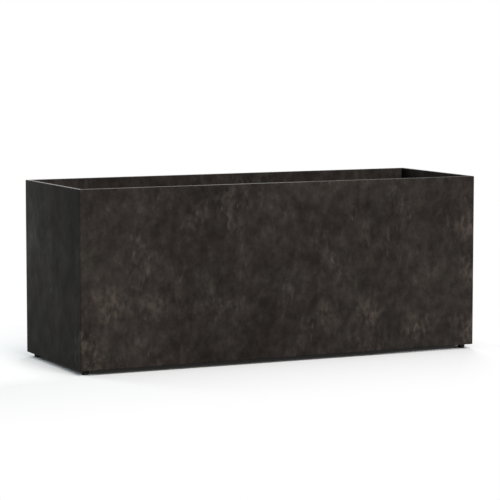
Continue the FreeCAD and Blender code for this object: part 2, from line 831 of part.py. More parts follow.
# Build every sub-part
LONG_WALL = ("half_length", "half_width", "foot_inset_x", "foot_inset_y")
END_WALL = ("half_width", "half_length", "foot_inset_y", "foot_inset_x")
for quarters, wall in enumerate(("front", "right_end", "back", "left_end")):
    is_long = wall in ("front", "back")
    wall_panel(f"{wall}_panel", *(LONG_WALL if is_long else END_WALL), quarters, is_long)
for quarters, (corner, (x_sign, y_sign)) in enumerate(CORNERS.items()):
    corner_angle(corner, x_sign, y_sign, quarters)
    foot_plate(corner, x_sign, y_sign)
    foot_nut(corner, x_sign, y_sign)
    foot_pad(corner, x_sign, y_sign)
    foot_screw(corner, x_sign, y_sign)
for side, place in SIDES.items():
    floor_bearer(side, place)
floor_pan()
drain_plug("left", -1)
drain_plug("right", 1)
stiffener("front_stiffener", 0)
stiffener("back_stiffener", 2)
tie_bar()
tie_bolts()
tie_nuts()
bearer_rivets()
floor_rivets()

# Check the document, then write one file per sub-part
doc.recompute()
for item in doc.Objects:
    if {"Invalid", "Error"} & set(item.State):
        raise RuntimeError(f"{item.Name} failed: {item.State}")
for body in sub_parts:
    if body.Shape.isNull() or not body.Shape.isValid():
        raise RuntimeError(f"{body.Label} has no valid shape")
os.makedirs("parts", exist_ok=True)
for body in sub_parts:
    body.Shape.exportStep(os.path.join("parts", body.Label + ".step"))
    print(f"{body.Label}: {len(body.Shape.Solids)} solid(s), {body.Shape.Volume / 1000:.2f} cm3")
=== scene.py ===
# %% [markdown]
# A rectangular floor planter, dressed on its CAD frame.
# The CAD model fixes every size and joint. It loads first and stays where it is. Each later step either
# gives a CAD part a finish, or models a finer piece in the same place and lets it stand for the CAD part.

# %% Load the frame
import json
import math

import bmesh
import bpy
from mathutils import Matrix, Vector


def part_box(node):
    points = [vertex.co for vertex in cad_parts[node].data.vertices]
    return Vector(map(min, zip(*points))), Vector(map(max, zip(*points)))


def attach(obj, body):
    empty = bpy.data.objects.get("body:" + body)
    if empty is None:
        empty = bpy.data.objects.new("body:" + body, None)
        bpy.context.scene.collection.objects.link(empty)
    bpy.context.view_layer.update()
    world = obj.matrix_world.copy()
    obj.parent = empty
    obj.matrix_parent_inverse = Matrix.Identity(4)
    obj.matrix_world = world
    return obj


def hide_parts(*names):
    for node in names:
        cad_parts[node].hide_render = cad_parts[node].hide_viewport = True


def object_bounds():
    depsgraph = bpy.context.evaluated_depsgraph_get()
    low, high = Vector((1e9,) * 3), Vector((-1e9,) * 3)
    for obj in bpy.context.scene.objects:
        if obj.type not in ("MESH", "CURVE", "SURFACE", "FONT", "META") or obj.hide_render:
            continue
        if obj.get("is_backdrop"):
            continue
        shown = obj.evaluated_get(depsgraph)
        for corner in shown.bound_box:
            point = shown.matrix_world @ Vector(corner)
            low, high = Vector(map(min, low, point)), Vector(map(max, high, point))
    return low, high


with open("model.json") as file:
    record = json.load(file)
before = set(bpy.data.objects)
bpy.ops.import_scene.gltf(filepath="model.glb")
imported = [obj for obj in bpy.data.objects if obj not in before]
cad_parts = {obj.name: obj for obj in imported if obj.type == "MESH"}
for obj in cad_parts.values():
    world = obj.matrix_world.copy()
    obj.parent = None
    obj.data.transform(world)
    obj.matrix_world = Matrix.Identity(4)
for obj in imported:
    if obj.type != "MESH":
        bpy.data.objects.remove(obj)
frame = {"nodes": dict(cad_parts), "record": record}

cad_low, cad_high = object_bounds()
HALF_LENGTH, HALF_WIDTH, RIM_TOP = cad_high
MM = 0.001
print("CAD box in metres:", tuple(cad_low), tuple(cad_high))

# %% [markdown]
# The camera stands low, in front and to the left, about six metres away, and looks slightly down. Its
# place, turn and lens were worked out from the outline of the box in the photograph. The long lens keeps
# the upright edges parallel to within a pixel or so, and no lens shift is needed.

# %% Camera
CAMERA_PLACE = Vector((-2.60618, -5.39908, 0.87280))
CAMERA_TURN = math.radians(25.7054)
CAMERA_TILT = math.radians(5.740)
CAMERA_LENS = 165.62

camera = bpy.data.objects.new("camera", bpy.data.cameras.new("camera"))
camera.data.lens = CAMERA_LENS
camera.location = CAMERA_PLACE
camera.rotation_euler = (math.pi / 2 - CAMERA_TILT, 0, -CAMERA_TURN)
bpy.context.collection.objects.link(camera)
bpy.context.scene.camera = camera
bpy.context.scene.view_settings.view_transform = "Standard"
print(f"camera {CAMERA_PLACE.length:.2f} m from the planter's foot")

# %% [markdown]
# Every finish below is a node tree. A few small helpers keep those trees readable: they add a node with
# its settings and inputs, blend two colours, or do a sum. An input may be a plain value or another node's
# output.

# %% Node helpers
def feed(tree, socket, content):
    """Links an output to a socket, or sets the socket to a plain value."""
    if isinstance(content, bpy.types.NodeSocket):
        tree.links.new(content, socket)
    else:
        socket.default_value = content


def add_node(tree, kind, inputs=None, **settings):
    """A node of a tree, with its settings and its inputs by name."""
    node = tree.nodes.new(kind)
    for name, setting in settings.items():
        setattr(node, name, setting)
    for name, content in (inputs or {}).items():
        feed(tree, node.inputs[name], content)
    return node


def blend_colour(tree, factor, first, second, blend_type="MIX"):
    """The colour between two others."""
    node = add_node(tree, "ShaderNodeMix", data_type="RGBA", blend_type=blend_type)
    for socket, content in zip((node.inputs[0], node.inputs[6], node.inputs[7]), (factor, first, second)):
        feed(tree, socket, content)
    return node.outputs[2]


def calculate(tree, operation, *values):
    """The result of a Math node."""
    node = add_node(tree, "ShaderNodeMath", operation=operation)
    for socket, content in zip(node.inputs, values):
        feed(tree, socket, content)
    return node.outputs[0]


def product(tree, first, *others):
    """Several masks or values multiplied."""
    for other in others:
        first = calculate(tree, "MULTIPLY", first, other)
    return first


def new_material(name):
    """An empty material, its tree and its output node."""
    material = bpy.data.materials.new(name)
    material.use_nodes = True
    tree = material.node_tree
    tree.nodes.clear()
    return material, tree, tree.nodes.new("ShaderNodeOutputMaterial")


def surface(tree, output, inputs):
    """The main shader of a finish, joined to its output."""
    shader = add_node(tree, "ShaderNodeBsdfPrincipled", inputs)
    tree.links.new(shader.outputs[0], output.inputs["Surface"])


def bump(tree, height, strength, distance):
    """A normal that follows small heights."""
    inputs = {"Height": height, "Strength": strength, "Distance": distance}
    return add_node(tree, "ShaderNodeBump", inputs).outputs[0]


print("node helpers ready")

# %% [markdown]
# Much of the finish depends on where a point lies: how far it is from the middle, or how deep under an
# outer face. These helpers read a point's place and turn a distance into a mask between 0 and 1.

# %% Places and distances
def places(tree):
    """A point's own X, Y and Z, and how far out it lies towards an end and towards a side."""
    own = add_node(tree, "ShaderNodeTexCoord").outputs["Object"]
    place = dict(add_node(tree, "ShaderNodeSeparateXYZ", {"Vector": own}).outputs.items())
    place["to end"] = calculate(tree, "ABSOLUTE", place["X"])
    place["to side"] = calculate(tree, "ABSOLUTE", place["Y"])
    return place


def ramp(tree, value, low, high, to_low=0.0, to_high=1.0):
    """A value moved from one range to another, and held at its ends."""
    inputs = {"Value": value, "From Min": low, "From Max": high, "To Min": to_low, "To Max": to_high}
    return add_node(tree, "ShaderNodeMapRange", inputs).outputs[0]


def shallow(tree, distance, face, depths):
    """A mask that rises from 0 to 1 between two depths under a face, deeper one first."""
    return ramp(tree, distance, face - depths[0], face - depths[1])


def deep(tree, distance, face, depths):
    """A mask that falls from 1 to 0 between two depths under a face, deeper one first."""
    return ramp(tree, distance, face - depths[0], face - depths[1], 1.0, 0.0)


print("place helpers ready")

# %% [markdown]
# The photograph has a white ground that runs into a white backdrop, with only a soft shadow round the
# foot of the box. The floor is a pale sheet that takes the lamps' light and keeps the shadow. Away from
# the planter it turns plain white, slowly in front and quickly beside the ends, where the photograph
# shows little shadow.

# %% Whiteness of the floor
# The lowest whiteness, under the planter, is painted light: a faint white glow that lifts the shadow
# there. The steps at the ends and in front also lift the shadow beside the planter as painted light.
WHITE_UNDER = 0.018
WHITE_BEFORE = 0.18
WHITE_BEYOND_FRONT = 0.60
WHITE_BESIDE = 0.25
WHITE_BEYOND_END = 0.11
WHITE_FAR_AWAY = (1.0, 1.7)
EDGE_STEP = (4 * MM, 2 * MM)
FRONT_FADE = (0.12, 0.05)


def whiten(tree, distance, edge, at_edge, reach):
    """Whiteness at a distance from the middle: a step at an edge and a slow rise beyond it."""
    step = ramp(tree, distance, edge - EDGE_STEP[0], edge + EDGE_STEP[1], WHITE_UNDER, at_edge)
    rise = ramp(tree, distance, edge, edge + reach, 0.0, 1.0 - at_edge)
    return calculate(tree, "ADD", step, rise)


def whiteness(tree, place):
    """How far the floor has turned plain white."""
    beside = whiten(tree, place["to end"], HALF_LENGTH, WHITE_BESIDE, WHITE_BEYOND_END)
    not_in_front = ramp(tree, place["Y"], -HALF_WIDTH - FRONT_FADE[0], -HALF_WIDTH + FRONT_FADE[1])
    beside = product(tree, beside, not_in_front)
    before = whiten(tree, place["to side"], HALF_WIDTH, WHITE_BEFORE, WHITE_BEYOND_FRONT)
    level = add_node(tree, "ShaderNodeCombineXYZ", {"X": place["X"], "Y": place["Y"]}).outputs[0]
    distance = add_node(tree, "ShaderNodeVectorMath", {0: level}, operation="LENGTH").outputs["Value"]
    far_away = ramp(tree, distance, *WHITE_FAR_AWAY)
    return calculate(tree, "MAXIMUM", far_away, calculate(tree, "MAXIMUM", beside, before))


print(f"floor white from {WHITE_FAR_AWAY[1]} m away")

# %% [markdown]
# The floor shows white to the camera and in reflections, and lights the scene more weakly than it looks,
# so that the shaded end stays dark. The strip of floor that shows under the front wall has a painted
# shadow, darker than the rest, because the photograph has a thin dark line there, which fades towards the
# right end. From below the floor is clear, and its footprint gives the underside a little light, so that
# the underside can be looked at.

# %% Finish of the floor
FLOOR_LOOKS = (0.84, 0.84, 0.84, 1)
FLOOR_LIGHTS = (0.35, 0.35, 0.35, 1)
# Colour of the painted shadow on the strip of floor under the front wall.
FLOOR_PAINTED_SHADOW = (0.205, 0.195, 0.185, 1)
STRIP_EDGE = (8 * MM, 2 * MM)
STRIP_START = (0.01, 0.05)
STRIP_END = (0.30, 0.10)
UNDER_GLOW = 0.45
GLOW_EDGE = (0.06, 0.01)


def seen_directly(tree):
    """1 where the camera, a reflection or glass shows a surface, and 0 where it only gives light."""
    rays = add_node(tree, "ShaderNodeLightPath").outputs
    seen = calculate(tree, "MAXIMUM", rays["Is Camera Ray"], rays["Is Glossy Ray"])
    return calculate(tree, "MAXIMUM", seen, rays["Is Transmission Ray"])


def mix_shaders(tree, factor, first, second):
    """The shader between two others."""
    mix = add_node(tree, "ShaderNodeMixShader", {"Fac": factor})
    tree.links.new(first, mix.inputs[1])
    tree.links.new(second, mix.inputs[2])
    return mix.outputs[0]


def floor_colour(tree, seen, place):
    """Pale to look at, with a painted shadow in the strip under the front wall, and weaker as a light."""
    shadow_under_wall = deep(tree, place["to side"], HALF_WIDTH, STRIP_EDGE)
    from_left = ramp(tree, place["X"], -HALF_LENGTH + STRIP_START[0], -HALF_LENGTH + STRIP_START[1])
    to_right = deep(tree, place["X"], HALF_LENGTH, STRIP_END)
    looks = blend_colour(tree, product(tree, shadow_under_wall, from_left, to_right), FLOOR_LOOKS, FLOOR_PAINTED_SHADOW)
    return blend_colour(tree, seen, FLOOR_LIGHTS, looks)


def under_glow(tree, place):
    """A weak light for the underside, from the floor below it."""
    within_ends = deep(tree, place["to end"], HALF_LENGTH, GLOW_EDGE)
    within_sides = deep(tree, place["to side"], HALF_WIDTH, GLOW_EDGE)
    gives_light = add_node(tree, "ShaderNodeLightPath").outputs["Is Diffuse Ray"]
    strength = product(tree, within_ends, within_sides, gives_light, UNDER_GLOW)
    return add_node(tree, "ShaderNodeEmission", {"Strength": strength}).outputs[0]


def floor_finish():
    """Pale near the planter, white away from it, and clear from below."""
    material, tree, output = new_material("pale floor")
    seen = seen_directly(tree)
    place = places(tree)
    colour = floor_colour(tree, seen, place)
    matt = add_node(tree, "ShaderNodeBsdfDiffuse", {"Color": colour}).outputs[0]
    white = add_node(tree, "ShaderNodeEmission", {"Color": (1, 1, 1, 1)}).outputs[0]
    above = mix_shaders(tree, product(tree, seen, whiteness(tree, place)), matt, white)
    lit = add_node(tree, "ShaderNodeAddShader", {0: above, 1: under_glow(tree, place)}).outputs[0]
    from_below = add_node(tree, "ShaderNodeNewGeometry").outputs["Backfacing"]
    clear = add_node(tree, "ShaderNodeBsdfTransparent").outputs[0]
    tree.links.new(mix_shaders(tree, from_below, lit, clear), output.inputs["Surface"])
    material.cycles.emission_sampling = "NONE"
    return material


PALE_FLOOR = floor_finish()
print("floor finish ready")

# %% [markdown]
# Floor and backdrop are no part of the planter. The floor is one large flat face, marked as stage. The
# backdrop is the world, which shows plain white and gives only a weak light.

# %% Floor and backdrop
FLOOR_REACH = 40.0
WORLD_FILL = 0.18

bm = bmesh.new()
bmesh.ops.create_grid(bm, x_segments=1, y_segments=1, size=FLOOR_REACH)
floor_mesh = bpy.data.meshes.new("floor")
bm.to_mesh(floor_mesh)
bm.free()
floor_mesh.materials.append(PALE_FLOOR)
floor = bpy.data.objects.new("floor", floor_mesh)
bpy.context.collection.objects.link(floor)
floor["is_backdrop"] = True

world = bpy.data.worlds.new("studio")
world.use_nodes = True
tree = world.node_tree
tree.nodes.clear()
strength = ramp(tree, seen_directly(tree), 0.0, 1.0, WORLD_FILL, 1.0)
backdrop = add_node(tree, "ShaderNodeBackground", {"Color": (1, 1, 1, 1), "Strength": strength})
output = tree.nodes.new("ShaderNodeOutputWorld")
tree.links.new(backdrop.outputs[0], output.inputs["Surface"])
bpy.context.scene.world = world
print(f"floor {2 * FLOOR_REACH:.0f} m wide, world fill {WORLD_FILL}")

# %% [markdown]
# Four soft boxes light the planter. The one overhead lights the floor, and the one in front gives the
# long wall its even light and leaves the left end in its own shade. A weak, cool one stands close behind
# the left end, which is greyer than the front in the photograph and lightest at the top of its far edge.
# One behind, to the right, lights the two walls that the photograph doesn't show. The last two are kept
# out of reflections, because they would glare on the end and the rim.

# %% Lamps
COOL_LAMP = (0.88, 0.97, 1.0)


def soft_box(name, place, aim, size, watts, colour=(1, 1, 1), in_reflections=True):
    """A square area lamp that points at a place."""
    lamp = bpy.data.lights.new(name, "AREA")
    lamp.color = colour
    lamp.shape = "SQUARE"
    lamp.size = size
    lamp.energy = watts
    holder = bpy.data.objects.new(name, lamp)
    holder.visible_camera = False
    holder.visible_glossy = in_reflections
    holder.location = place
    holder.rotation_euler = (Vector(aim) - Vector(place)).to_track_quat("-Z", "Y").to_euler()
    bpy.context.collection.objects.link(holder)
    print(f"{name}: {size} m wide, {watts} W")


soft_box("overhead box", (0.2, -0.9, 3.6), (0.1, -0.3, 0), 2.6, 50)
soft_box("front box", (0.3, -4.2, 2.6), (0, 0, 0.2), 2.4, 219)
soft_box("end box", (-1.05, 0.75, 0.50), (-0.56, 0.10, 0.30), 0.4, 5.9, COOL_LAMP, in_reflections=False)
soft_box("back box", (2.3, 3.8, 2.4), (0, 0, 0.2), 2.0, 130, in_reflections=False)

# %% [markdown]
# Patina, paint and plating all vary in soft cloudy ways, only at other sizes and strengths. One shared
# group gives such a mask: noise on the planter's own coordinates, stretched if wished, cut to the part of
# its range that is wanted.

# %% Mottle group
def mottle_group():
    """A node group that gives a cloudy mask between 0 and 1."""
    group = bpy.data.node_groups.new("mottle", "ShaderNodeTree")
    stretch = group.interface.new_socket("Stretch", in_out="INPUT", socket_type="NodeSocketVector")
    stretch.default_value = (1.0, 1.0, 1.0)
    starts = {"Scale": 10.0, "Detail": 2.0, "Roughness": 0.5, "Low": 0.3, "High": 0.7}
    for name, start in starts.items():
        socket = group.interface.new_socket(name, in_out="INPUT", socket_type="NodeSocketFloat")
        socket.default_value = start
    group.interface.new_socket("Mask", in_out="OUTPUT", socket_type="NodeSocketFloat")
    given = group.nodes.new("NodeGroupInput").outputs
    result = group.nodes.new("NodeGroupOutput")
    place = add_node(group, "ShaderNodeTexCoord").outputs["Object"]
    stretching = {"Vector": place, "Scale": given["Stretch"]}
    stretched = add_node(group, "ShaderNodeMapping", stretching).outputs[0]
    settings = {name: given[name] for name in ("Scale", "Detail", "Roughness")}
    noise = add_node(group, "ShaderNodeTexNoise", {"Vector": stretched, **settings}).outputs[0]
    mask = ramp(group, noise, given["Low"], given["High"])
    group.links.new(mask, result.inputs["Mask"])
    return group


MOTTLE = mottle_group()


def mottle(tree, scale, **settings):
    """The mottle group in a material's tree. What isn't given keeps the group's own value."""
    inputs = {name.title(): setting for name, setting in settings.items()}
    return add_node(tree, "ShaderNodeGroup", {"Scale": scale, **inputs}, node_tree=MOTTLE).outputs["Mask"]


print("mottle group ready")

# %% [markdown]
# The walls are steel that was darkened with acid, wiped and lacquered. The acid took more in some places
# and less in others, and the cloth left paler places, mostly low on the front and along its right edge.
# Each such place is a round patch, given by its middle on the wall and its reach in metres; where the acid
# made it, a strength comes last. Two more patches on the left end are painted light and shade: lighter at
# the top of its far edge, darker low near the front. Noise pushes the points about before the distance is
# measured, so that no patch looks round.

# %% Patches of the patina
WARP = 0.09
WARP_SCALE = 16.0
WIPED_ON_FRONT = (
    (-0.545, 0.055, 0.090),
    (-0.474, 0.165, 0.075),
    (-0.365, 0.170, 0.052),
    (0.115, 0.115, 0.055),
    (0.240, 0.115, 0.060),
    (0.384, 0.067, 0.055),
    (0.545, 0.330, 0.065),
    (0.550, 0.215, 0.060),
    (0.545, 0.060, 0.065),
)
TONED_ON_FRONT = (
    (-0.490, 0.150, 0.260, 0.11),
    (0.430, 0.195, 0.130, 0.12),
    (0.335, 0.335, 0.140, -0.09),
    (0.045, 0.455, 0.110, 0.12),
    (0.420, 0.455, 0.100, 0.10),
    (-0.440, 0.450, 0.100, 0.09),
    (-0.450, 0.015, 0.090, 0.12),
    (-0.090, 0.040, 0.265, -0.11),
    (0.300, 0.020, 0.160, -0.07),
    (-0.210, 0.420, 0.190, -0.12),
)
# Painted light and shade on the left end, as across, height, reach and strength: lighter at the top of its
# far edge, darker low near the front.
PAINTED_LIGHT_ON_LEFT_END = (
    (0.190, 0.340, 0.250, 0.21),
    (-0.170, 0.020, 0.250, -0.14),
)


def warped_places(tree):
    """Points of the object, pushed about by noise."""
    own = add_node(tree, "ShaderNodeTexCoord").outputs["Object"]
    settings = {"Vector": own, "Scale": WARP_SCALE, "Detail": 3.0}
    noise = add_node(tree, "ShaderNodeTexNoise", settings).outputs["Color"]
    warp = {0: noise, 1: (WARP, WARP, WARP), 2: own}
    return add_node(tree, "ShaderNodeVectorMath", warp, operation="MULTIPLY_ADD").outputs[0]


def patch(tree, warped, middle, reach):
    """A mask of one warped round patch, from its middle to its reach."""
    ends = {0: warped, 1: Vector(middle) + Vector((WARP, WARP, WARP)) / 2}
    gap = add_node(tree, "ShaderNodeVectorMath", ends, operation="DISTANCE").outputs["Value"]
    return ramp(tree, gap, 0.0, reach, 1.0, 0.0)


def wiped_places(tree, warped):
    """A mask of the places that the cloth left paler."""
    wiped = 0.0
    for x, z, reach in WIPED_ON_FRONT:
        wiped = calculate(tree, "MAXIMUM", wiped, patch(tree, warped, (x, -HALF_WIDTH, z), reach))
    return wiped


def toned_places(tree, warped, tone):
    """A tone made lighter or darker where the acid took less or more, and by painted light and shade on
    the left end.
    """
    spots = [((x, -HALF_WIDTH, z), reach, strength) for x, z, reach, strength in TONED_ON_FRONT]
    spots += [((-HALF_LENGTH, y, z), reach, strength) for y, z, reach, strength in PAINTED_LIGHT_ON_LEFT_END]
    for middle, reach, strength in spots:
        tone = calculate(tree, "MULTIPLY_ADD", patch(tree, warped, middle, reach), strength, tone)
    return tone


print(len(WIPED_ON_FRONT), "wiped places on the front")

# %% [markdown]
# Between those places the patina is mottled at five sizes: soft clouds a hand wide, blotches of a few
# centimetres, spots, a grain that runs slightly upright, and flecks of a millimetre or two. Each has its
# share of the tone. The ends are other sheets and smoother, so their fine mottles are weaker.

# %% Tone of the patina
MOTTLES = {
    "clouds": {"scale": 5.0, "detail": 1.5},
    "blotches": {"scale": 18.0, "stretch": (1.0, 1.0, 0.85)},
    "spots": {"scale": 46.0, "stretch": (1.0, 1.0, 0.8)},
    "grain": {"scale": 120.0, "detail": 3.0, "roughness": 0.65, "stretch": (1.0, 1.0, 0.75)},
    "flecks": {"scale": 450.0, "detail": 3.0, "roughness": 0.65, "stretch": (1.0, 1.0, 0.7)},
}
SHARES = {"clouds": 0.085, "blotches": 0.22, "wiped": 0.09, "spots": 0.30, "grain": 0.185, "flecks": 0.16}
COARSE = ("clouds", "blotches", "wiped")
FINE = ("spots", "grain", "flecks")
FINE_ON_END = 0.5
LIFT_ON_END = 0.165


def patina_masks(tree, warped):
    """The five mottles and the wiped places, by name."""
    masks = {name: mottle(tree, low=0.25, high=0.75, **settings) for name, settings in MOTTLES.items()}
    masks["wiped"] = wiped_places(tree, warped)
    return masks


def add_shares(tree, tone, masks, names):
    """A tone with some masks added, each by its share."""
    for name in names:
        tone = calculate(tree, "MULTIPLY_ADD", masks[name], SHARES[name], tone)
    return tone


def patina_tone(tree, masks, warped, on_end):
    """How light the patina is, before it has a colour."""
    fine = add_shares(tree, 0.0, masks, FINE)
    weaker = ramp(tree, on_end, 0.0, 1.0, 1.0, FINE_ON_END)
    fine = calculate(tree, "MULTIPLY_ADD", fine, weaker, product(tree, on_end, LIFT_ON_END))
    tone = add_shares(tree, fine, masks, COARSE)
    return toned_places(tree, warped, tone)


print(len(MOTTLES), "mottles make the tone")

# %% [markdown]
# The tone picks a charcoal brown from a ramp, whose hue drifts a little towards green and violet. Where
# the cloth went over it, pale specks show, warmest in the wiped places. Short pale wisps run upright where
# the cloth lifted, and faint rust shows in spots. The ends are painted cooler than the long walls: a
# painted grey sheen, as they catch the light at a grazing angle.

# %% Colours of the patina
TONES = (
    (0.155, (0.0118, 0.0099, 0.0087, 1)),
    (0.325, (0.0183, 0.0152, 0.0134, 1)),
    (0.475, (0.0257, 0.0213, 0.0187, 1)),
    (0.635, (0.0370, 0.0306, 0.0267, 1)),
    (0.795, (0.0550, 0.0454, 0.0393, 1)),
)
GREEN_CAST = (0.94, 1.0, 0.97, 1)
VIOLET_CAST = (1.0, 0.955, 1.0, 1)
PALE_PLACE = (0.088, 0.075, 0.064, 1)
WIPED_PLACE = (0.104, 0.083, 0.065, 1)
RUST_PLACE = (0.042, 0.033, 0.028, 1)
# The cool cast of the ends is a painted grey sheen.
COOL_SHEEN_ON_END = (0.88, 0.99, 1.0, 1)
WISPS_ON_SIDE = 0.62
WISPS_ON_END = 0.22
RUST_STRENGTH = 0.6


def tone_colour(tree, tone):
    """The colour of a tone, with its drift of hue."""
    tones = add_node(tree, "ShaderNodeValToRGB", {"Fac": tone})
    while len(tones.color_ramp.elements) < len(TONES):
        tones.color_ramp.elements.new(0.5)
    for stop, (position, colour) in zip(tones.color_ramp.elements, TONES):
        stop.position = position
        stop.color = colour
    green = mottle(tree, 8.0, low=0.45, high=0.7)
    colour = blend_colour(tree, green, tones.outputs["Color"], GREEN_CAST, "MULTIPLY")
    violet = mottle(tree, 8.0, low=0.45, high=0.7, stretch=(1.4, 1.4, 1.4))
    return blend_colour(tree, violet, colour, VIOLET_CAST, "MULTIPLY")


def wiped_colour(tree, colour, wiped, on_end):
    """The patina's colour with the specks and wisps that the cloth left."""
    pale = mottle(tree, 11.0, detail=4.0, roughness=0.65, low=0.54, high=0.80, stretch=(1.0, 1.0, 0.8))
    pale = calculate(tree, "MAXIMUM", pale, wiped)
    specks = mottle(tree, 80.0, detail=3.0, roughness=0.6, low=0.42, high=0.74, stretch=(1.0, 1.0, 0.6))
    pale_colour = blend_colour(tree, wiped, PALE_PLACE, WIPED_PLACE)
    colour = blend_colour(tree, product(tree, pale, specks), colour, pale_colour)
    lifted = mottle(tree, 9.0, low=0.48, high=0.66, stretch=(1.2, 1.2, 1.0))
    wisps = mottle(tree, 85.0, low=0.55, high=0.80, stretch=(1.0, 1.0, 0.4))
    strength = ramp(tree, on_end, 0.0, 1.0, WISPS_ON_SIDE, WISPS_ON_END)
    return blend_colour(tree, product(tree, wisps, lifted, strength), colour, PALE_PLACE)


def patina_colour(tree, tone, wiped, on_end):
    """The colour of the patina all over, before wear."""
    colour = wiped_colour(tree, tone_colour(tree, tone), wiped, on_end)
    rust = mottle(tree, 30.0, detail=3.0, low=0.60, high=0.80, stretch=(1.0, 1.0, 0.6))
    colour = blend_colour(tree, product(tree, rust, RUST_STRENGTH), colour, RUST_PLACE)
    # The ends get their painted cool grey sheen.
    return blend_colour(tree, on_end, colour, COOL_SHEEN_ON_END, "MULTIPLY")


print("patina colour on", len(TONES), "tones")

# %% [markdown]
# The outer corners are rubbed paler. In the photograph the inside is darker than the outside, most of all
# in its left corner, and its right end fades from light in front to dark at the back. The patina carries
# that as painted shade, with a painted bluish reflection towards the front of the inner end, and both
# inner ends have the same. A clear coat lies only on the flat rim, and its strength is set by place to
# paint the rim's highlight: more at the left than at the right, and most just left of the middle.

# %% Wear, painted shade and painted highlight of the patina
RUBBED_EDGE = (0.10, 0.09, 0.08, 1)
RUBBED_DEPTHS = (1.0 * MM, 0.0)
INSIDE_SHADE = (0.74, 0.74, 0.74, 1)
INSIDE_DEPTHS = (12 * MM, 9 * MM)
LEFT_CORNER_SHADE = (0.42, 0.42, 0.42, 1)
LEFT_CORNER_REACH = 0.22
# Painted reflection in front and painted shade at the back of the inner ends.
INNER_END_PAINTED_REFLECTION = (1.60, 1.66, 1.78, 1)
INNER_END_PAINTED_SHADE = (0.15, 0.15, 0.15, 1)
INNER_END_DEPTHS = (12.5 * MM, 10.5 * MM)
INNER_END_GRADE = (0.10, HALF_WIDTH - 10 * MM)
BEHIND_FACE_DEPTHS = (1.4 * MM, 1.0 * MM)
UNDER_RIM_DEPTHS = (2.0 * MM, 1.0 * MM)
RIM_COAT_DEPTHS = (0.8 * MM, 0.0)
# The rim's coat is strongest at the left and just left of the middle, to paint its highlight there.
RIM_COAT_LEFT = 0.66
RIM_COAT_RIGHT = 0.26
RIM_SHINE = -0.10
RIM_SHINE_REACH = (0.10, 0.19)
RIM_SHINE_COAT = 0.34


def worn_and_shaded_colour(tree, colour, place):
    """The patina's colour with rubbed corners, painted shade inside and a painted reflection on the inner
    ends.
    """
    near_end = shallow(tree, place["to end"], HALF_LENGTH, RUBBED_DEPTHS)
    near_side = shallow(tree, place["to side"], HALF_WIDTH, RUBBED_DEPTHS)
    colour = blend_colour(tree, product(tree, near_end, near_side), colour, RUBBED_EDGE)
    # Painted shade: the inside is darker, most of all in its left corner.
    within_ends = deep(tree, place["to end"], HALF_LENGTH, INSIDE_DEPTHS)
    within_sides = deep(tree, place["to side"], HALF_WIDTH, INSIDE_DEPTHS)
    inside = product(tree, within_ends, within_sides)
    colour = blend_colour(tree, inside, colour, INSIDE_SHADE, "MULTIPLY")
    left_corner = ramp(tree, place["X"], -HALF_LENGTH, -HALF_LENGTH + LEFT_CORNER_REACH, 1.0, 0.0)
    colour = blend_colour(tree, product(tree, left_corner, inside), colour, LEFT_CORNER_SHADE, "MULTIPLY")
    # The inner ends carry a painted bluish reflection in front that fades to painted shade at the back.
    inner_end = shallow(tree, place["to end"], HALF_LENGTH, INNER_END_DEPTHS)
    behind_face = deep(tree, place["to end"], HALF_LENGTH, BEHIND_FACE_DEPTHS)
    under_rim = deep(tree, place["Z"], RIM_TOP, UNDER_RIM_DEPTHS)
    inner_end = product(tree, inner_end, within_sides, behind_face, under_rim)
    to_back = ramp(tree, place["Y"], *INNER_END_GRADE)
    shade = blend_colour(tree, to_back, INNER_END_PAINTED_REFLECTION, INNER_END_PAINTED_SHADE)
    return blend_colour(tree, inner_end, colour, shade, "MULTIPLY")


def rim_shine_coat(tree, place):
    """How strong the clear coat on the rim is: a painted highlight whose strength is set by place."""
    # Painted highlight: the coat, and so the rim's shine, is stronger at the left and just left of the
    # middle.
    rubbed = ramp(tree, place["X"], -HALF_LENGTH, HALF_LENGTH, RIM_COAT_LEFT, RIM_COAT_RIGHT)
    from_shine_peak = calculate(tree, "ABSOLUTE", calculate(tree, "SUBTRACT", place["X"], RIM_SHINE))
    shine_peak = ramp(tree, from_shine_peak, *RIM_SHINE_REACH, RIM_SHINE_COAT, 0.0)
    on_rim = shallow(tree, place["Z"], RIM_TOP, RIM_COAT_DEPTHS)
    return product(tree, on_rim, calculate(tree, "ADD", rubbed, shine_peak))


print("wear helpers ready")

# %% [markdown]
# The material puts these together. Roughness and a very fine bump follow the same mottles as the colour,
# so that the light breaks where the colour does.

# %% Patina
END_SKIN = (2.2 * MM, 0.8 * MM)
BLOTCH_HEIGHT = 2.0
FLECK_HEIGHT = 0.3


def patina_material():
    """Darkened, wiped and lacquered steel."""
    material, tree, output = new_material("patina")
    place = places(tree)
    on_end = shallow(tree, place["to end"], HALF_LENGTH, END_SKIN)
    warped = warped_places(tree)
    masks = patina_masks(tree, warped)
    tone = patina_tone(tree, masks, warped, on_end)
    colour = patina_colour(tree, tone, masks["wiped"], on_end)
    height = calculate(tree, "MULTIPLY_ADD", masks["blotches"], BLOTCH_HEIGHT, masks["grain"])
    height = calculate(tree, "MULTIPLY_ADD", masks["flecks"], FLECK_HEIGHT, height)
    surface(tree, output, {
        "Base Color": worn_and_shaded_colour(tree, colour, place),
        "Roughness": ramp(tree, masks["blotches"], 0.0, 1.0, 0.56, 0.44),
        "Specular IOR Level": 0.010,
        "Coat Weight": rim_shine_coat(tree, place),
        "Coat Roughness": 0.18,
        "Normal": bump(tree, height, strength=0.25, distance=0.15 * MM),
    })
    return material


PATINA = patina_material()
print("patina ready:", len(PATINA.node_tree.nodes), "nodes")

# %% [markdown]
# Inside and underneath, angles, bearers, braces and the tray carry a plain matt base coat. Sprayed paint
# has a slight orange peel and settles unevenly, so a fine bump and a faint mottle are enough.

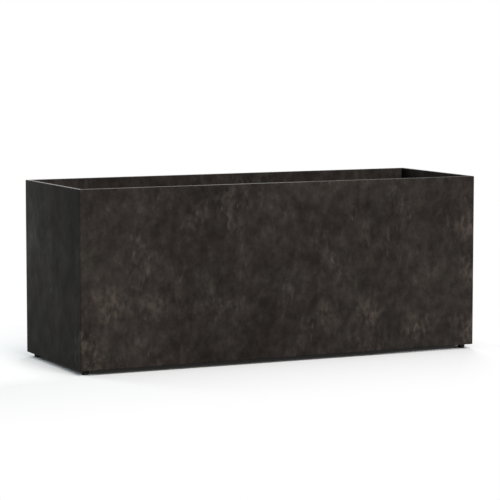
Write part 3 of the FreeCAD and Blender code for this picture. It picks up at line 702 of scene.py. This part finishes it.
# %% Base coat
BASE_DARK = (0.0165, 0.0160, 0.0155, 1)
BASE_LIGHT = (0.0240, 0.0232, 0.0222, 1)
BASE_SCUFF = (0.050, 0.047, 0.044, 1)
SCUFF_STRENGTH = 0.6


def base_coat_material():
    """Matt dark grey sprayed paint."""
    material, tree, output = new_material("base coat")
    settling = mottle(tree, 14.0, detail=3.0)
    peel = mottle(tree, 420.0, detail=1.0)
    scuffs = mottle(tree, 38.0, detail=4.0, roughness=0.7, low=0.62, high=0.74)
    colour = blend_colour(tree, settling, BASE_DARK, BASE_LIGHT)
    colour = blend_colour(tree, product(tree, scuffs, SCUFF_STRENGTH), colour, BASE_SCUFF)
    surface(tree, output, {
        "Base Color": colour,
        "Roughness": ramp(tree, settling, 0.0, 1.0, 0.62, 0.74),
        "Specular IOR Level": 0.3,
        "Normal": bump(tree, peel, strength=0.3, distance=0.1 * MM),
    })
    return material


BASE_COAT = base_coat_material()
print("base coat ready")

# %% [markdown]
# Fasteners are plated. Zinc is a bright, slightly blue metal with a cloudy bloom; the levelling screws
# have the black kind. Both are one recipe with two pairs of colours.

# %% Plated steel
BLOOM_ROUGHNESS = 0.14


def plated_material(name, dark, bright, roughness):
    """Plated steel with a cloudy bloom."""
    material, tree, output = new_material(name)
    bloom = mottle(tree, 160.0, detail=3.0, roughness=0.6)
    surface(tree, output, {
        "Base Color": blend_colour(tree, bloom, dark, bright),
        "Metallic": 1.0,
        "Roughness": ramp(tree, bloom, 0.0, 1.0, roughness + BLOOM_ROUGHNESS, roughness),
    })
    return material


ZINC = plated_material("zinc plate", (0.40, 0.41, 0.43, 1), (0.60, 0.61, 0.62, 1), 0.30)
BLACK_ZINC = plated_material("black zinc", (0.022, 0.022, 0.024, 1), (0.045, 0.045, 0.048, 1), 0.34)
print("plated finishes ready")

# %% [markdown]
# The foot pads are black nylon and the drain plugs black rubber. Both are moulded, so their surface is a
# fine even texture; the rubber is softer, greyer and rougher, and holds a little dust.

# %% Moulded black
NYLON_BLACK = (0.0040, 0.0040, 0.0042, 1)
NYLON_WORN = (0.0075, 0.0075, 0.0078, 1)
RUBBER_BLACK = (0.0070, 0.0070, 0.0070, 1)
RUBBER_DUST = (0.0180, 0.0172, 0.0165, 1)
WORN_ROUGHNESS = 0.12


def moulded_material(name, colour, dust, roughness, grain_scale):
    """Black moulded plastic or rubber."""
    material, tree, output = new_material(name)
    grain = mottle(tree, grain_scale)
    worn = mottle(tree, 75.0, detail=4.0, roughness=0.65, low=0.5, high=0.8)
    surface(tree, output, {
        "Base Color": blend_colour(tree, worn, colour, dust),
        "Roughness": ramp(tree, worn, 0.0, 1.0, roughness, roughness + WORN_ROUGHNESS),
        "Specular IOR Level": 0.16,
        "Normal": bump(tree, grain, strength=0.35, distance=0.08 * MM),
    })
    return material


NYLON = moulded_material("black nylon", NYLON_BLACK, NYLON_WORN, 0.48, 900.0)
RUBBER = moulded_material("black rubber", RUBBER_BLACK, RUBBER_DUST, 0.68, 600.0)
print("moulded finishes ready")

# %% [markdown]
# Every piece has a material slot, and each slot has one finish. The CAD parts take theirs by the slot
# that the record gives them.

# %% Finishes by slot
FINISHES = {
    "patina": PATINA,
    "base_coat": BASE_COAT,
    "zinc_plate": ZINC,
    "black_zinc": BLACK_ZINC,
    "black_nylon": NYLON,
    "black_rubber": RUBBER,
}
for part in frame["record"]["subparts"]:
    mesh = frame["nodes"][part["node"]].data
    mesh.materials.clear()
    mesh.materials.append(FINISHES[part["material_slot"]])

# %% [markdown]
# New pieces start in a bmesh and end as an object at the origin that rides on a CAD body. One helper does
# the ending for all of them: it shades curves smooth and folds sharp, gives the finish and says which CAD
# parts the piece stands for. Weighted normals keep the large flat faces flat next to their rounded folds.

# %% Piece helpers
SHARP_FOLD = math.radians(38)


def show(name, bm, slot, body, *nodes):
    """Turns a bmesh into a finished piece of the object."""
    for face in bm.faces:
        face.smooth = True
    for edge in bm.edges:
        edge.smooth = edge.is_manifold and edge.calc_face_angle() < SHARP_FOLD
    mesh = bpy.data.meshes.new(name)
    bm.to_mesh(mesh)
    bm.free()
    mesh.materials.append(FINISHES[slot])
    piece = bpy.data.objects.new(name, mesh)
    bpy.context.collection.objects.link(piece)
    piece.modifiers.new("flat faces", "WEIGHTED_NORMAL").keep_sharp = True
    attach(piece, body)
    if nodes:
        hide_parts(*nodes)
    print(f"{name}: {len(mesh.polygons)} faces on {body}")


def centre(node):
    """The middle of a CAD part at rest."""
    low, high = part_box(node)
    return (low + high) / 2


def stand_in(name, bm, slot, node, height=0.0):
    """Shows a piece in the place of a CAD part that moves on its own."""
    place = centre(node)
    bmesh.ops.translate(bm, verts=bm.verts, vec=(place.x, place.y, height))
    show(name, bm, slot, node, node)


print("piece helpers ready")

# %% [markdown]
# A few operations come back in many pieces: rounding folds, cutting with a plane, turning an outline and
# raising a hexagon. Each is one or two bmesh operators, with the settings that they need here.

# %% Shaping helpers
SAME_POINT = 1e-6


def only(made, kind):
    """The points, edges or faces among what an operator made."""
    return [item for item in made["geom"] if isinstance(item, kind)]


def folds(bm, steeper_than=math.radians(25)):
    """The edges where two faces meet at an angle."""
    return [edge for edge in bm.edges if edge.is_manifold and edge.calc_face_angle() > steeper_than]


def round_over(bm, edges, radius, segments):
    """Rounds edges to a radius."""
    bmesh.ops.bevel(
        bm,
        geom=edges,
        offset=radius,
        offset_type="OFFSET",
        segments=segments,
        profile=0.5,
        affect="EDGES",
        clamp_overlap=True,
        material=-1,
    )


def cut_off(bm, place, away, snap):
    """Cuts with a plane and drops what lies beyond it. Points within snap of the plane count as on it."""
    whole = bm.verts[:] + bm.edges[:] + bm.faces[:]
    bmesh.ops.bisect_plane(bm, geom=whole, dist=snap, plane_co=place, plane_no=away, clear_outer=True)


def close_cuts(bm):
    """Fills the openings that cuts have left."""
    open_edges = [edge for edge in bm.edges if edge.is_boundary]
    bmesh.ops.holes_fill(bm, edges=open_edges, sides=0)


def spin_profile(profile, turns, steps, **more):
    """A line through (radius, height) points in millimetres, spun about the upright axis."""
    bm = bmesh.new()
    points = [bm.verts.new((radius * MM, 0, height * MM)) for radius, height in profile]
    lines = [bm.edges.new(pair) for pair in zip(points, points[1:])]
    bmesh.ops.spin(
        bm,
        geom=points + lines,
        cent=(0, 0, 0),
        axis=(0, 0, 1),
        angle=2 * math.pi * turns,
        steps=steps * turns,
        **more,
    )
    bmesh.ops.remove_doubles(bm, verts=bm.verts, dist=SAME_POINT)
    return bm


def turn_profile(profile, steps=48):
    """A profile turned once all the way round, as on a lathe."""
    bm = spin_profile(profile, 1, steps, use_merge=True)
    bmesh.ops.recalc_face_normals(bm, faces=bm.faces)
    return bm


def hex_block(flats, low, high, edge):
    """An upright hexagon between two heights, with its rims eased. All sizes are in millimetres."""
    bm = bmesh.new()
    bmesh.ops.create_circle(bm, cap_ends=True, segments=6, radius=flats * MM / math.sqrt(3))
    bmesh.ops.translate(bm, verts=bm.verts, vec=(0, 0, low * MM))
    crown = only(bmesh.ops.extrude_face_region(bm, geom=bm.faces[:]), bmesh.types.BMVert)
    bmesh.ops.translate(bm, verts=crown, vec=(0, 0, (high - low) * MM))
    bmesh.ops.recalc_face_normals(bm, faces=bm.faces)
    rims = [line for line in bm.edges if abs(line.verts[0].co.z - line.verts[1].co.z) < 0.1 * MM]
    round_over(bm, rims, edge * MM, segments=2)
    return bm


def join(bm, other, spots=(Matrix(),)):
    """Adds another bmesh to this one, once for each spot, and frees it."""
    mesh = bpy.data.meshes.new("joining")
    other.to_mesh(mesh)
    other.free()
    for spot in spots:
        copy = mesh.copy()
        copy.transform(spot)
        bm.from_mesh(copy)
        bpy.data.meshes.remove(copy)
    bpy.data.meshes.remove(mesh)


def repeat(name, piece, spots, slot, *nodes):
    """Shows a piece of the planter's body that is repeated at some spots, as one."""
    bm = bmesh.new()
    join(bm, piece, spots)
    show(name, bm, slot, "planter", *nodes)


print("shaping helpers ready")

# %% [markdown]
# The four walls are folded from sheet, mitred and welded, and the corners are ground flush. The easy way
# to model that is to make the whole skin in one: a box, with its top and bottom inset for the rim and the
# ledge, and the rim's inner edge drawn down for the return. Then the folds are rounded together, so that
# the three folds at each corner run into one another, and the skin gets the gauge of the sheet.

# %% Skin of the shell
GAUGE = 1.5 * MM
RIM_WIDTH = 10 * MM
RIM_RETURN = 36 * MM
LEDGE_WIDTH = 40 * MM
FOLD_RADIUS = 2.3 * MM
SHELL_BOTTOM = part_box("front_panel")[0].z
SHELL_HEIGHT = RIM_TOP - SHELL_BOTTOM

skin = bmesh.new()
bmesh.ops.create_cube(skin, size=1.0)
bmesh.ops.scale(skin, verts=skin.verts, vec=(2 * HALF_LENGTH, 2 * HALF_WIDTH, SHELL_HEIGHT))
bmesh.ops.translate(skin, verts=skin.verts, vec=(0, 0, SHELL_BOTTOM + SHELL_HEIGHT / 2))


def face_height(face):
    """How high a face lies."""
    return face.calc_center_median().z


bottom = min(skin.faces, key=face_height)
top = max(skin.faces, key=face_height)
bmesh.ops.inset_region(skin, faces=[top], thickness=RIM_WIDTH, use_even_offset=True)
bmesh.ops.inset_region(skin, faces=[bottom], thickness=LEDGE_WIDTH, use_even_offset=True)
rounded = folds(skin) + list(top.edges)
return_edge = only(bmesh.ops.extrude_edge_only(skin, edges=list(top.edges)), bmesh.types.BMVert)
bmesh.ops.translate(skin, verts=return_edge, vec=(0, 0, -RIM_RETURN))
bmesh.ops.delete(skin, geom=[top, bottom], context="FACES_ONLY")
round_over(skin, rounded, FOLD_RADIUS, segments=5)
print(f"skin: {len(skin.faces)} faces, {len(rounded)} rounded folds")

# %% [markdown]
# The levelling screws pass through a hole near each corner of the ledge, right where two walls meet. The
# ledge is taken out and filled again round four circles, so that the mitre cuts later run through the
# holes as they do on the real sheet.

# %% Foot holes
CORNERS = ("front_left", "front_right", "back_right", "back_left")
FOOT_HOLE = 5.0 * MM


def ring_of(circle):
    """The edges of a new circle, each once and in order."""
    return list(dict.fromkeys(edge for vert in circle["verts"] for edge in vert.link_edges))


ledge = [
    face for face in skin.faces
    if all(abs(vert.co.z - SHELL_BOTTOM) < SAME_POINT for vert in face.verts)
]
ledge_edges = list(dict.fromkeys(edge for face in ledge for edge in face.edges))
mitres = [edge for edge in ledge_edges if sum(face in ledge for face in edge.link_faces) == 2]
outlines = [edge for edge in ledge_edges if edge not in mitres]
bmesh.ops.delete(skin, geom=mitres, context="EDGES")
for corner in CORNERS:
    foot = centre(f"foot_screw_{corner}")
    spot = Matrix.Translation((foot.x, foot.y, SHELL_BOTTOM))
    outlines += ring_of(bmesh.ops.create_circle(skin, segments=40, radius=FOOT_HOLE, matrix=spot))
bmesh.ops.triangle_fill(skin, use_beauty=True, edges=outlines)
bmesh.ops.recalc_face_normals(skin, faces=skin.faces)
print(f"{len(ledge)} ledge faces filled again round {len(CORNERS)} holes")

# %% Gauge of the sheet
bmesh.ops.solidify(skin, geom=skin.faces, thickness=GAUGE)
reach = max(vert.co.x for vert in skin.verts)
print(f"shell: {len(skin.faces)} faces, reaches {reach / MM:.2f} mm of {HALF_LENGTH / MM:.2f} mm")

# %% [markdown]
# Each wall is that shell cut at its two mitres. Cutting copies of one shell with a plane through each
# corner makes the neighbours meet exactly. Points very near a plane are taken as on it, so that the cut
# leaves no slivers.

# %% Four walls
MITRE_SNAP = 5e-6


def wall(name, along, across, quarters):
    """One wall of the shell, between the mitres at its two ends. along and across are its half sizes."""
    bm = skin.copy()
    turn = quarters * math.pi / 2
    bmesh.ops.rotate(bm, verts=bm.verts, cent=(0, 0, 0), matrix=Matrix.Rotation(-turn, 3, "Z"))
    cut_off(bm, Vector((along, -across, 0)), Vector((1, 1, 0)), MITRE_SNAP)
    cut_off(bm, Vector((-along, -across, 0)), Vector((-1, 1, 0)), MITRE_SNAP)
    cut_off(bm, Vector((0, 0, 0)), Vector((0, 1, 0)), MITRE_SNAP)
    close_cuts(bm)
    bmesh.ops.rotate(bm, verts=bm.verts, cent=(0, 0, 0), matrix=Matrix.Rotation(turn, 3, "Z"))
    show(name, bm, "patina", "planter", name.replace("wall", "panel"))


wall("front_wall", HALF_LENGTH, HALF_WIDTH, 0)
wall("right_end_wall", HALF_WIDTH, HALF_LENGTH, 1)
wall("back_wall", HALF_LENGTH, HALF_WIDTH, 2)
wall("left_end_wall", HALF_WIDTH, HALF_LENGTH, 3)
skin.free()

# %% [markdown]
# The tray on the bearers is one pressed and folded sheet. An upturned edge all round keeps the soil in,
# and two shallow dishes lead the water to the drains. A box without a lid gives the edges. Its floor is
# taken out and filled again round two circles, and each circle is drawn inwards and down for its dish.

# %% Edges of the tray
tray_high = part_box("floor_pan")[1]
TRAY_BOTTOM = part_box("floor_bearer_middle")[1].z
TRAY_DEPTH = tray_high.z - TRAY_BOTTOM
TRAY_CORNER = 3.0 * MM

tray = bmesh.new()
bmesh.ops.create_cube(tray, size=1.0)
bmesh.ops.scale(tray, verts=tray.verts, vec=(2 * tray_high.x, 2 * tray_high.y, TRAY_DEPTH))
bmesh.ops.translate(tray, verts=tray.verts, vec=(0, 0, TRAY_BOTTOM + TRAY_DEPTH / 2))
uprights = [edge for edge in tray.edges if abs(edge.verts[0].co.z - edge.verts[1].co.z) > TRAY_DEPTH / 2]
round_over(tray, uprights, TRAY_CORNER, segments=5)
round_over(tray, list(min(tray.faces, key=face_height).edges), FOLD_RADIUS, segments=4)
tray_lid = max(tray.faces, key=face_height)
tray_floor = min(tray.faces, key=face_height)
floor_outline = list(tray_floor.edges)
bmesh.ops.delete(tray, geom=[tray_lid, tray_floor], context="FACES_ONLY")
print(f"tray edges: {len(tray.faces)} faces, {TRAY_DEPTH / MM:.1f} mm deep")

# %% Dishes and drains of the tray
DRAIN_REACH = centre("drain_plug_right").x
DISH_DEPTH = 3.0
DISH_RINGS = ((40.0, 0.0), (34.0, 0.0), (23.0, -DISH_DEPTH), (12.0, -DISH_DEPTH))

rings = {}
for side in (-1, 1):
    spot = Matrix.Translation((side * DRAIN_REACH, 0, TRAY_BOTTOM))
    circle = bmesh.ops.create_circle(tray, segments=64, radius=DISH_RINGS[0][0] * MM, matrix=spot)
    rings[side] = ring_of(circle)
bmesh.ops.triangle_fill(tray, use_beauty=True, edges=floor_outline + rings[-1] + rings[1])
for side, ring in rings.items():
    about_drain = Matrix.Translation((-side * DRAIN_REACH, 0, 0))
    for (wide, high), (narrow, low) in zip(DISH_RINGS, DISH_RINGS[1:]):
        drawn = bmesh.ops.extrude_edge_only(tray, edges=ring)
        inner = only(drawn, bmesh.types.BMVert)
        ring = [edge for edge in only(drawn, bmesh.types.BMEdge) if set(inner).issuperset(edge.verts)]
        shrink = narrow / wide
        bmesh.ops.scale(tray, verts=inner, vec=(shrink, shrink, 1), space=about_drain)
        bmesh.ops.translate(tray, verts=inner, vec=(0, 0, (low - high) * MM))
bmesh.ops.recalc_face_normals(tray, faces=tray.faces)
if min(tray.faces, key=face_height).normal.z > 0:
    bmesh.ops.reverse_faces(tray, faces=tray.faces)
bmesh.ops.solidify(tray, geom=tray.faces, thickness=GAUGE)
show("floor_tray", tray, "base_coat", "planter", "floor_pan")

# %% [markdown]
# Each foot is a round nylon pad that turns on the end of a levelling screw. The pad is a turned outline
# with its socket, and its outer rims are rounded as a mould leaves them.

# %% Foot pads
PAD_OUTLINE = ((0, 0), (9, 0), (9, 7.5), (3.55, 7.5), (3.55, 4.1), (5.05, 4.1), (5.05, 2), (0, 2))
PAD_EDGE = 0.8
PAD_OUTER = 8.0

for corner in CORNERS:
    pad = turn_profile(PAD_OUTLINE)
    outer = [edge for edge in folds(pad) if min(vert.co.xy.length for vert in edge.verts) > PAD_OUTER * MM]
    round_over(pad, outer, PAD_EDGE * MM, segments=4)
    stand_in(f"pad_{corner}", pad, "black_nylon", f"foot_pad_{corner}")

# %% [markdown]
# The levelling screw has a pivot that snaps into the pad, a hex collar for a spanner and an M8 stem. The
# CAD stem is a plain cylinder. Here one tooth of the thread is turned and raised by its pitch in each
# turn, and the winding is cut level at both ends. The joint moves the screw by the same pitch, so the
# thread stays in its nut as the foot is turned.

# %% Thread
PITCH = 1.25
THREAD_ROOT = 3.32
THREAD_CREST = 4.0
TOOTH = (
    (THREAD_ROOT, 0.0),
    (THREAD_ROOT, 0.31),
    (THREAD_CREST, 0.70),
    (THREAD_CREST, 0.86),
    (THREAD_ROOT, PITCH),
)
THREAD_SNAP = 1e-7


def thread(low, high, steps=24):
    """A right-hand thread between two heights in millimetres."""
    start = low - 1.5 * PITCH
    tooth = [(radius, start + height) for radius, height in TOOTH]
    turns = math.ceil((high - low) / PITCH) + 3
    bm = spin_profile(tooth, turns, steps, dvec=(0, 0, PITCH * MM / steps))
    cut_off(bm, (0, 0, low * MM), (0, 0, -1), THREAD_SNAP)
    cut_off(bm, (0, 0, high * MM), (0, 0, 1), THREAD_SNAP)
    close_cuts(bm)
    bmesh.ops.recalc_face_normals(bm, faces=bm.faces)
    return bm


print(f"thread: {2 * THREAD_CREST:.0f} mm wide, {PITCH} mm a turn")

# %% Levelling screws
PIVOT_OUTLINE = ((0, 2.05), (5, 2.05), (5, 4.05), (3.5, 4.05), (3.5, 7.7), (0, 7.7))
TIP_OUTLINE = ((0, 37.3), (3.3, 37.3), (3.3, 37.8), (2.7, 38.4), (0, 38.4))

for corner in CORNERS:
    screw = turn_profile(PIVOT_OUTLINE)
    join(screw, hex_block(flats=16, low=7.6, high=11.4, edge=0.4))
    join(screw, thread(low=11.0, high=37.4))
    join(screw, turn_profile(TIP_OUTLINE))
    stand_in(f"screw_{corner}", screw, "black_zinc", f"foot_screw_{corner}")

# %% [markdown]
# The cross tie is bolted to the stiffeners with flanged hex bolts. Bolt and rivets are drawn upright,
# with their seat at height 0, and each is then repeated at its places.

# %% Tie bolts
BOLT_OUTLINE = ((0, -10.3), (2.2, -10.3), (3, -9.5), (3, 0), (6.5, 0), (6.5, 0.6), (5.4, 1.2), (0, 1.2))
TIE_GAUGE = 3.0 * MM
BOLT_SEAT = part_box("tie_bar")[1].y - TIE_GAUGE
BOLT_PITCH = 22.0 * MM
BOLT_LEVEL = centre("tie_nuts").z

bolt = turn_profile(BOLT_OUTLINE)
join(bolt, hex_block(flats=10, low=1.1, high=5.0, edge=0.4))
spots = [
    Matrix.Rotation(half_turn * math.pi, 4, "Z")
    @ Matrix.Translation((side * BOLT_PITCH / 2, -BOLT_SEAT, BOLT_LEVEL))
    @ Matrix.Rotation(-math.pi / 2, 4, "X")
    for half_turn in (0, 1)
    for side in (-1, 1)
]
repeat("flange_bolts", bolt, spots, "zinc_plate", "tie_bolts")

# %% [markdown]
# Blind rivets hold the bearers to the ledges and the tray to the bearers. The head is a low dome with the
# dimple where the pulled mandrel broke off, and the far end is a set tail.

# %% Rivets
RIVET_HEAD = 4.8
RIVET_TAIL = ((0, -6), (2.9, -6), (3.3, -5.4), (3.3, -3), (2.4, -3), (2.4, 0))
RIVET_DOME = ((RIVET_HEAD, 0), (RIVET_HEAD, 0.2), (4.4, 0.7), (3.6, 1.15), (2.6, 1.45), (1.5, 1.6))
RIVET_DIMPLE = ((1.2, 1.5), (1.05, 1.0), (0, 1.0))
RIVET_OUTLINE = RIVET_TAIL + RIVET_DOME + RIVET_DIMPLE
BEARER_REACH = centre("floor_bearer_right").x
BEARERS = (-BEARER_REACH, 0.0, BEARER_REACH)
LEDGE_RIVET_ALONG = 30.0 * MM
LEDGE_RIVET_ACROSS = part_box("bearer_rivets")[1].y - RIVET_HEAD * MM
TRAY_RIVET_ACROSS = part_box("floor_rivets")[1].y - RIVET_HEAD * MM

spots = [
    Matrix.Translation((bearer + along * LEDGE_RIVET_ALONG, across * LEDGE_RIVET_ACROSS, SHELL_BOTTOM))
    @ Matrix.Rotation(math.pi, 4, "X")
    for bearer in BEARERS
    for along in (-1, 1)
    for across in (-1, 1)
]
repeat("ledge_rivets", turn_profile(RIVET_OUTLINE, steps=24), spots, "zinc_plate", "bearer_rivets")
spots = [
    Matrix.Translation((bearer, across * TRAY_RIVET_ACROSS, TRAY_BOTTOM + GAUGE))
    for bearer in BEARERS
    for across in (-1, 1)
]
repeat("tray_rivets", turn_profile(RIVET_OUTLINE, steps=24), spots, "zinc_plate", "floor_rivets")

# %% [markdown]
# The drains are closed with rubber plugs. A plug is a turned, tapered stopper with soft sealing rings
# under a round flange, and a flat tab on top to pull it by. The tab is a block whose upper edges are
# rounded until they nearly meet.

# %% Drain plugs
PLUG_TIP = ((0, -12), (10.2, -12), (10.9, -11.4), (11.1, -9.6))
PLUG_LOWER_RING = ((10.6, -9.2), (10.7, -8.2), (11.3, -7.8), (11.4, -6.0))
PLUG_UPPER_RING = ((10.9, -5.6), (11.0, -4.6), (11.6, -4.2), (11.7, -2.4))
PLUG_FLANGE = ((11.9, -1.5), (11.9, 0), (18, 0), (18, 2.0), (17.7, 2.7), (17, 3.0), (0, 3.0))
PLUG_SEAT = TRAY_BOTTOM + GAUGE - DISH_DEPTH * MM
TAB_WIDTH = 20.0 * MM
TAB_THICKNESS = 4.0 * MM
TAB_FOOT = 1.0 * MM
TAB_TOP = 14.0 * MM
TAB_EDGE = 0.7 * MM
TAB_ROUNDING = 0.495 * TAB_WIDTH


def pull_tab():
    """A flat tab with a round top."""
    tab = bmesh.new()
    bmesh.ops.create_cube(tab, size=1.0)
    bmesh.ops.scale(tab, verts=tab.verts, vec=(TAB_WIDTH, TAB_THICKNESS, TAB_TOP - TAB_FOOT))
    bmesh.ops.translate(tab, verts=tab.verts, vec=(0, 0, (TAB_TOP + TAB_FOOT) / 2))
    shoulders = [edge for edge in tab.edges if all(vert.co.z > TAB_TOP / 2 for vert in edge.verts)]
    shoulders = [edge for edge in shoulders if abs(edge.verts[0].co.x - edge.verts[1].co.x) < MM]
    round_over(tab, shoulders, TAB_ROUNDING, segments=14)
    round_over(tab, folds(tab, steeper_than=math.radians(60)), TAB_EDGE, segments=3)
    return tab


for side in ("left", "right"):
    plug = turn_profile(PLUG_TIP + PLUG_LOWER_RING + PLUG_UPPER_RING + PLUG_FLANGE, steps=64)
    join(plug, pull_tab())
    stand_in(f"plug_{side}", plug, "black_rubber", f"drain_plug_{side}", PLUG_SEAT)

# %% [markdown]
# The corner angles and the stiffeners are stitch-welded to the walls. Each stitch is a short bead with
# the ripple that the moving torch leaves, painted over with the base coat. A wavy outline turned about
# its own length is enough, because half of it is buried in the joint. The stitches stand a little off the
# wall, so that they don't break through the sheet.

# %% One weld stitch
STITCH_HALF = 12.0
STITCH_RIPPLE = 1.6
STITCH_CREST = 1.7
STITCH_DIP = 0.3
STITCH_END = ((1.1, 0.4), (0, 1.2))

waves = 2 * int(2 * STITCH_HALF / STITCH_RIPPLE) + 1
stitch_outline = [(radius, -STITCH_HALF - past) for radius, past in reversed(STITCH_END)]
for wave in range(waves):
    height = STITCH_HALF * (2 * (wave + 1) / (waves + 1) - 1)
    stitch_outline.append((STITCH_CREST - STITCH_DIP * (wave % 2), height))
stitch_outline += [(radius, STITCH_HALF + past) for radius, past in STITCH_END]
print(f"stitch outline: {len(stitch_outline)} points")

# %% Weld stitches
STITCHES = 4
STITCH_INSET = 0.6 * MM

angle_low, angle_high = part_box("corner_angle_back_right")
stiff_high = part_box("back_stiffener")[1]
brace = angle_high.z - angle_low.z
leg_end = angle_low - Vector((STITCH_INSET, STITCH_INSET, 0))
on_wall = angle_high - Vector((STITCH_INSET, STITCH_INSET, 0))
on_stiffener = stiff_high + Vector((STITCH_INSET, -STITCH_INSET, 0))
spots = []
for level in range(STITCHES):
    height = angle_low.z + brace * (level + 0.5) / STITCHES
    for x_side in (-1, 1):
        for y_side in (-1, 1):
            for x, y in ((leg_end.x, on_wall.y), (on_wall.x, leg_end.y), on_stiffener.xy):
                spots.append(Matrix.Translation((x_side * x, y_side * y, height)))
repeat("weld_stitches", turn_profile(stitch_outline, steps=10), spots, "base_coat")

# %% [markdown]
# Last, the box of the visual model is measured, as the CAD model's box was at the start. The visual
# model has to stay in the CAD model's box.

# %% Sizes and the end
low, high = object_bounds()
